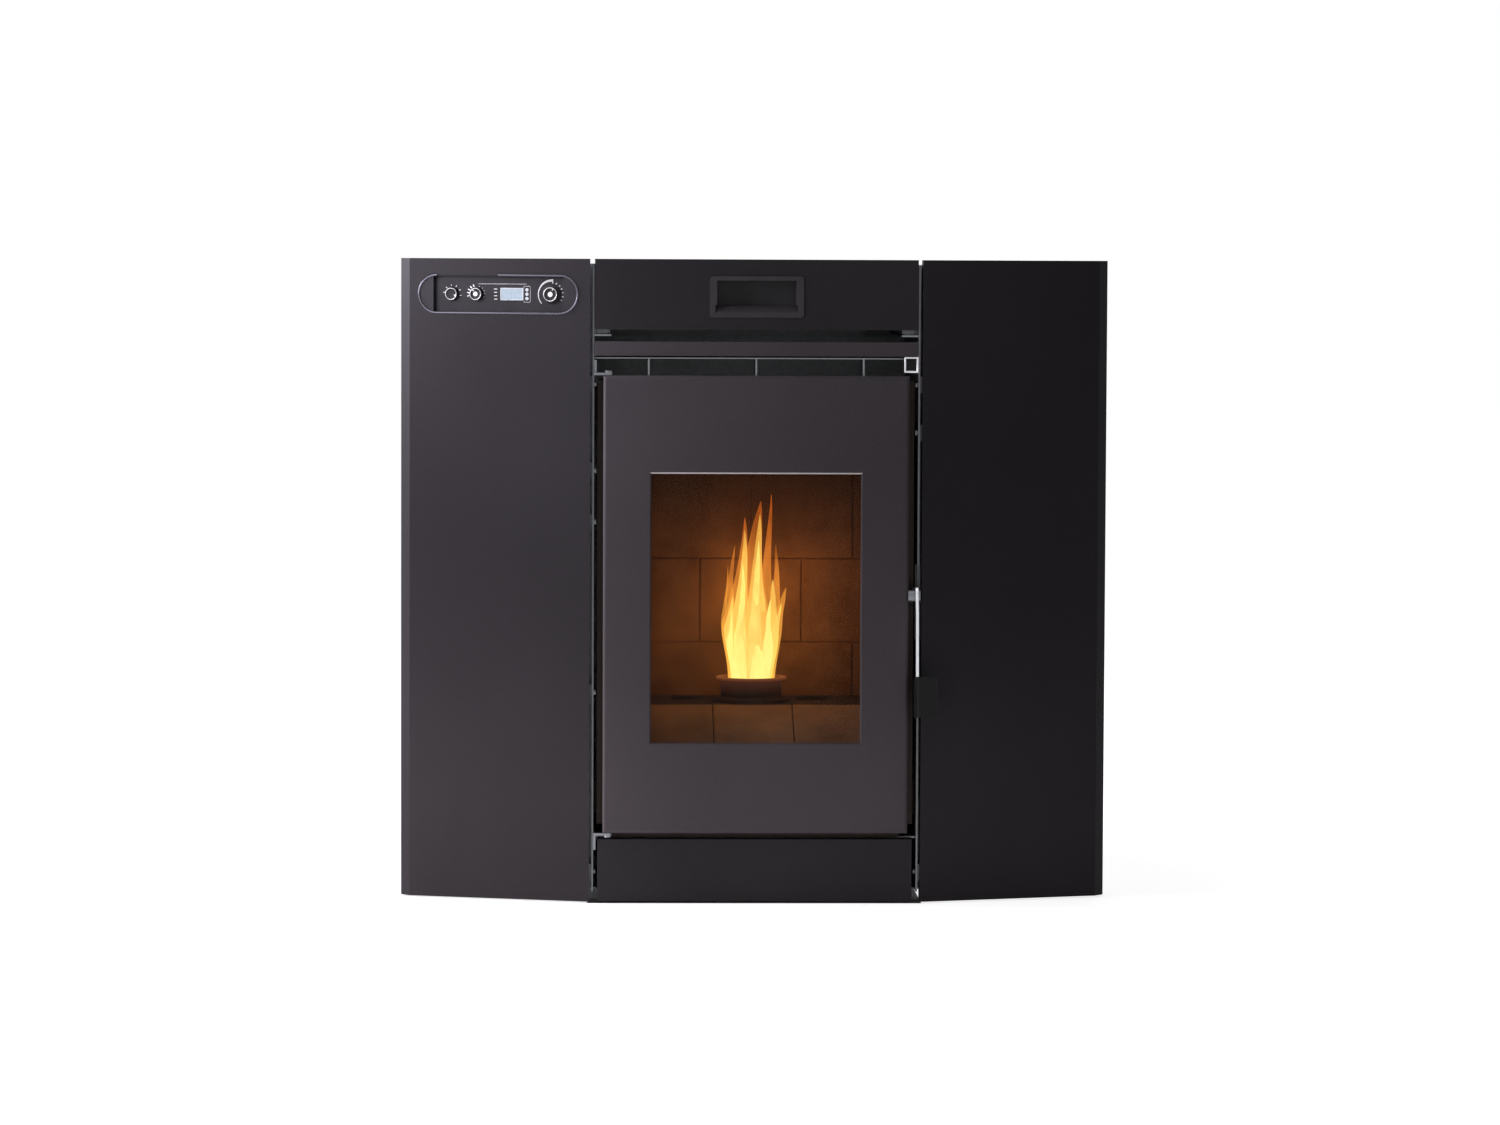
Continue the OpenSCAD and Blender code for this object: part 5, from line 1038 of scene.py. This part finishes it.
BACK_Y = (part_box("casing_back")[1].y - FRONT) / MM
LID_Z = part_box("casing_top")[1].z / MM
screws("casing_back_screws",
       [(x, BACK_Y, z) for x in (-308, -154, 0, 154, 308) for z in (28, 742)]
       + [(x, BACK_Y, z) for x in (-308, 308) for z in (206, 385, 564)], Matrix.Rotation(math.pi, 4, "Z"))
screws("casing_lid_screws",
       [(x, y, LID_Z) for x in (-306, 306) for y in (70, 260, 450)]
       + [(x, 456, LID_Z) for x in (-150, 0, 150)], Matrix.Rotation(-math.pi / 2, 4, "X"))

# Blades of the mains inlet
INLET, BLADE = Vector((-250, 463, 66)), (2.0, 12.0, 4.4)
pins = []
for dx, dz in ((-7, -2.0), (0, 2.5), (7, -2.0)):
    pin = moved(block(*BLADE), Matrix.Translation(at(*(INLET + Vector((dx, 0, dz))))))
    pins.append(bevel(pin, 0.4))
dress(smooth(joined(pins)), "inlet_blades", "chassis", FINISH["zinc_steel"])

# ---------------------------------------------------------------- camera
CAMERA_AT = at(-199.9, -6272.1, 772.0)
CAMERA_PAN, CAMERA_DIP, CAMERA_ROLL = -1.7620, 3.3342, 0.2431      # degrees
cam_data = bpy.data.cameras.new("camera")
cam_data.sensor_width = 36.0
cam_data.lens = 127.28
cam_data.clip_start = 0.1
cam_data.clip_end = 60.0
camera = new_object("camera", cam_data)
camera.matrix_world = Matrix.Translation(CAMERA_AT) @ Matrix.Rotation(math.radians(CAMERA_PAN), 4, "Z") \
    @ Matrix.Rotation(math.radians(90 - CAMERA_DIP), 4, "X") @ Matrix.Rotation(math.radians(CAMERA_ROLL), 4, "Z")
bpy.context.scene.camera = camera

# ---------------------------------------------------------------- light
# All in metres in the shared frame
COOL, WARM, WHITE = (0.93, 0.92, 1.0), (1.0, 0.95, 0.94), (1.0, 1.0, 1.0)
# name: place, aim, width, height, power, colour
LAMPS = {
    "top_strip": ((0.0, -0.42, 0.96), (0.0, -0.24, 0.66), 0.9, 0.1, 0.30, COOL),
    "front_strip": ((-0.25, -0.85, 0.42), (0.0, -0.24, 0.40), 0.15, 0.6, 0.10, WARM),
    "left_strip": ((-0.62, -0.50, 0.42), (0.0, -0.24, 0.40), 0.12, 0.8, 0.12, COOL),
    "left_upper": ((-0.62, -0.50, 0.85), (-0.05, -0.24, 0.55), 0.3, 0.3, 2.5, COOL),
    "left_lower": ((-0.62, -0.50, 0.03), (-0.05, -0.24, 0.25), 0.3, 0.2, 1.55, WARM),
    "right_floor": ((0.55, -0.60, 0.02), (0.35, -0.2, 0.20), 0.3, 0.2, 0.12, WARM),
    "left_floor": ((-0.55, -0.60, 0.02), (-0.35, -0.2, 0.20), 0.3, 0.2, 0.03, COOL),
    "front_floor": ((0.0, -0.50, 0.02), (0.0, -0.24, 0.20), 0.9, 0.1, 0.31, WARM),
    "left_rim": ((-1.3, -0.02, 0.98), (-0.42, -0.14, 0.66), 0.4, 0.4, 24.0, COOL),
    "overhead": ((0.3, 0.6, 3.0), (0, 0, 0.4), 2.6, 2.6, 16.0, WHITE),
    "behind": ((1.0, 3.0, 2.0), (0, 0.2, 0.4), 2.0, 2.0, 14.0, WHITE),
}


def lamp(name, kind, place_at, power, color):
    data = bpy.data.lights.new(name, kind)
    data.energy = power
    data.color = color
    obj = new_object(name, data)
    obj.location = place_at
    return obj


def area_light(name, place_at, aim, width, height, power, color):
    """A panel lamp that the camera doesn't see."""
    obj = lamp(name, "AREA", place_at, power, color)
    obj.data.shape = "RECTANGLE"
    obj.data.size, obj.data.size_y = width, height
    obj.rotation_mode = "QUATERNION"
    obj.rotation_quaternion = (Vector(aim) - Vector(place_at)).to_track_quat("-Z", "Y")
    obj.visible_camera = False


for name, settings in LAMPS.items():
    area_light(name, *settings)
lamp("fire_glow", "POINT", at(10, 180, 350), 0.48, (1.0, 0.40, 0.12)).data.shadow_soft_size = 0.06
lamp("fire_front", "POINT", at(0, 112, 315), 0.16, (1.0, 0.52, 0.22)).data.shadow_soft_size = 0.05


# ---------------------------------------------------------------- background and floor
def seen_ray(nt):
    """1 for the rays that show the background: camera, glossy and transmission rays."""
    path = add(nt, "ShaderNodeLightPath")
    either = reckon(nt, "MAXIMUM", path.outputs["Is Camera Ray"], path.outputs["Is Glossy Ray"])
    return reckon(nt, "MAXIMUM", either, path.outputs["Is Transmission Ray"])


def by_ray(nt, unseen, seen, output):
    """Ends a node tree with one shader for the rays that show the background and another for the rest."""
    choice = add(nt, "ShaderNodeMixShader", {0: seen_ray(nt), 1: unseen.outputs[0], 2: seen.outputs[0]})
    nt.links.new(choice.outputs[0], add(nt, output).inputs[0])


def fresh_tree(owner):
    owner.use_nodes = True
    owner.node_tree.nodes.clear()
    return owner.node_tree


world = bpy.data.worlds.new("studio")
bpy.context.scene.world = world
wt = fresh_tree(world)
white = add(wt, "ShaderNodeBackground", {"Color": (1, 1, 1, 1), "Strength": 1.0})
dim = add(wt, "ShaderNodeBackground", {"Color": (0.9, 0.92, 1.0, 1), "Strength": 0.025})
by_ray(wt, dim, white, "ShaderNodeOutputWorld")

clear_selection()
bpy.ops.mesh.primitive_plane_add(size=40, location=(0, 0, 0))
floor = bpy.context.active_object
floor.name = "studio_floor"
# The rectangle under the insert, in metres, where the floor isn't brightened: a painted shadow under the insert.
UNDER_HALF, UNDER_FRONT, UNDER_BACK = 0.199, FRONT + 0.003, 0.19
# The glow's level at two distances from the middle, in metres
NEAR, NEAR_LEVEL, FAR, FAR_LEVEL = 0.55, 0.80, 1.1, 1.0
floor_finish = bpy.data.materials.new("studio_floor")
ft = fresh_tree(floor_finish)
matt = add(ft, "ShaderNodeBsdfDiffuse", {"Color": (0.8, 0.8, 0.8, 1)})
floor_place = add(ft, "ShaderNodeTexCoord").outputs["Object"]
away = add(ft, "ShaderNodeVectorMath", {0: floor_place}, operation="LENGTH").outputs["Value"]
across, along = add(ft, "ShaderNodeSeparateXYZ", {"Vector": floor_place}).outputs[:2]
beside = reckon(ft, "GREATER_THAN", reckon(ft, "ABSOLUTE", across), UNDER_HALF)
before = reckon(ft, "LESS_THAN", along, UNDER_FRONT)
behind = reckon(ft, "GREATER_THAN", along, UNDER_BACK)
outside = reckon(ft, "MAXIMUM", reckon(ft, "MAXIMUM", before, behind), beside)
level = reckon(ft, "MULTIPLY", outside, spread(ft, away, NEAR_LEVEL, FAR_LEVEL, NEAR, FAR))
lift = add(ft, "ShaderNodeEmission", {"Color": (1, 1, 1, 1), "Strength": level})
lifted = add(ft, "ShaderNodeAddShader", {0: matt.outputs[0], 1: lift.outputs[0]})
by_ray(ft, matt, lifted, "ShaderNodeOutputMaterial")
floor.data.materials.append(floor_finish)

bpy.context.scene.view_settings.view_transform = "Standard"
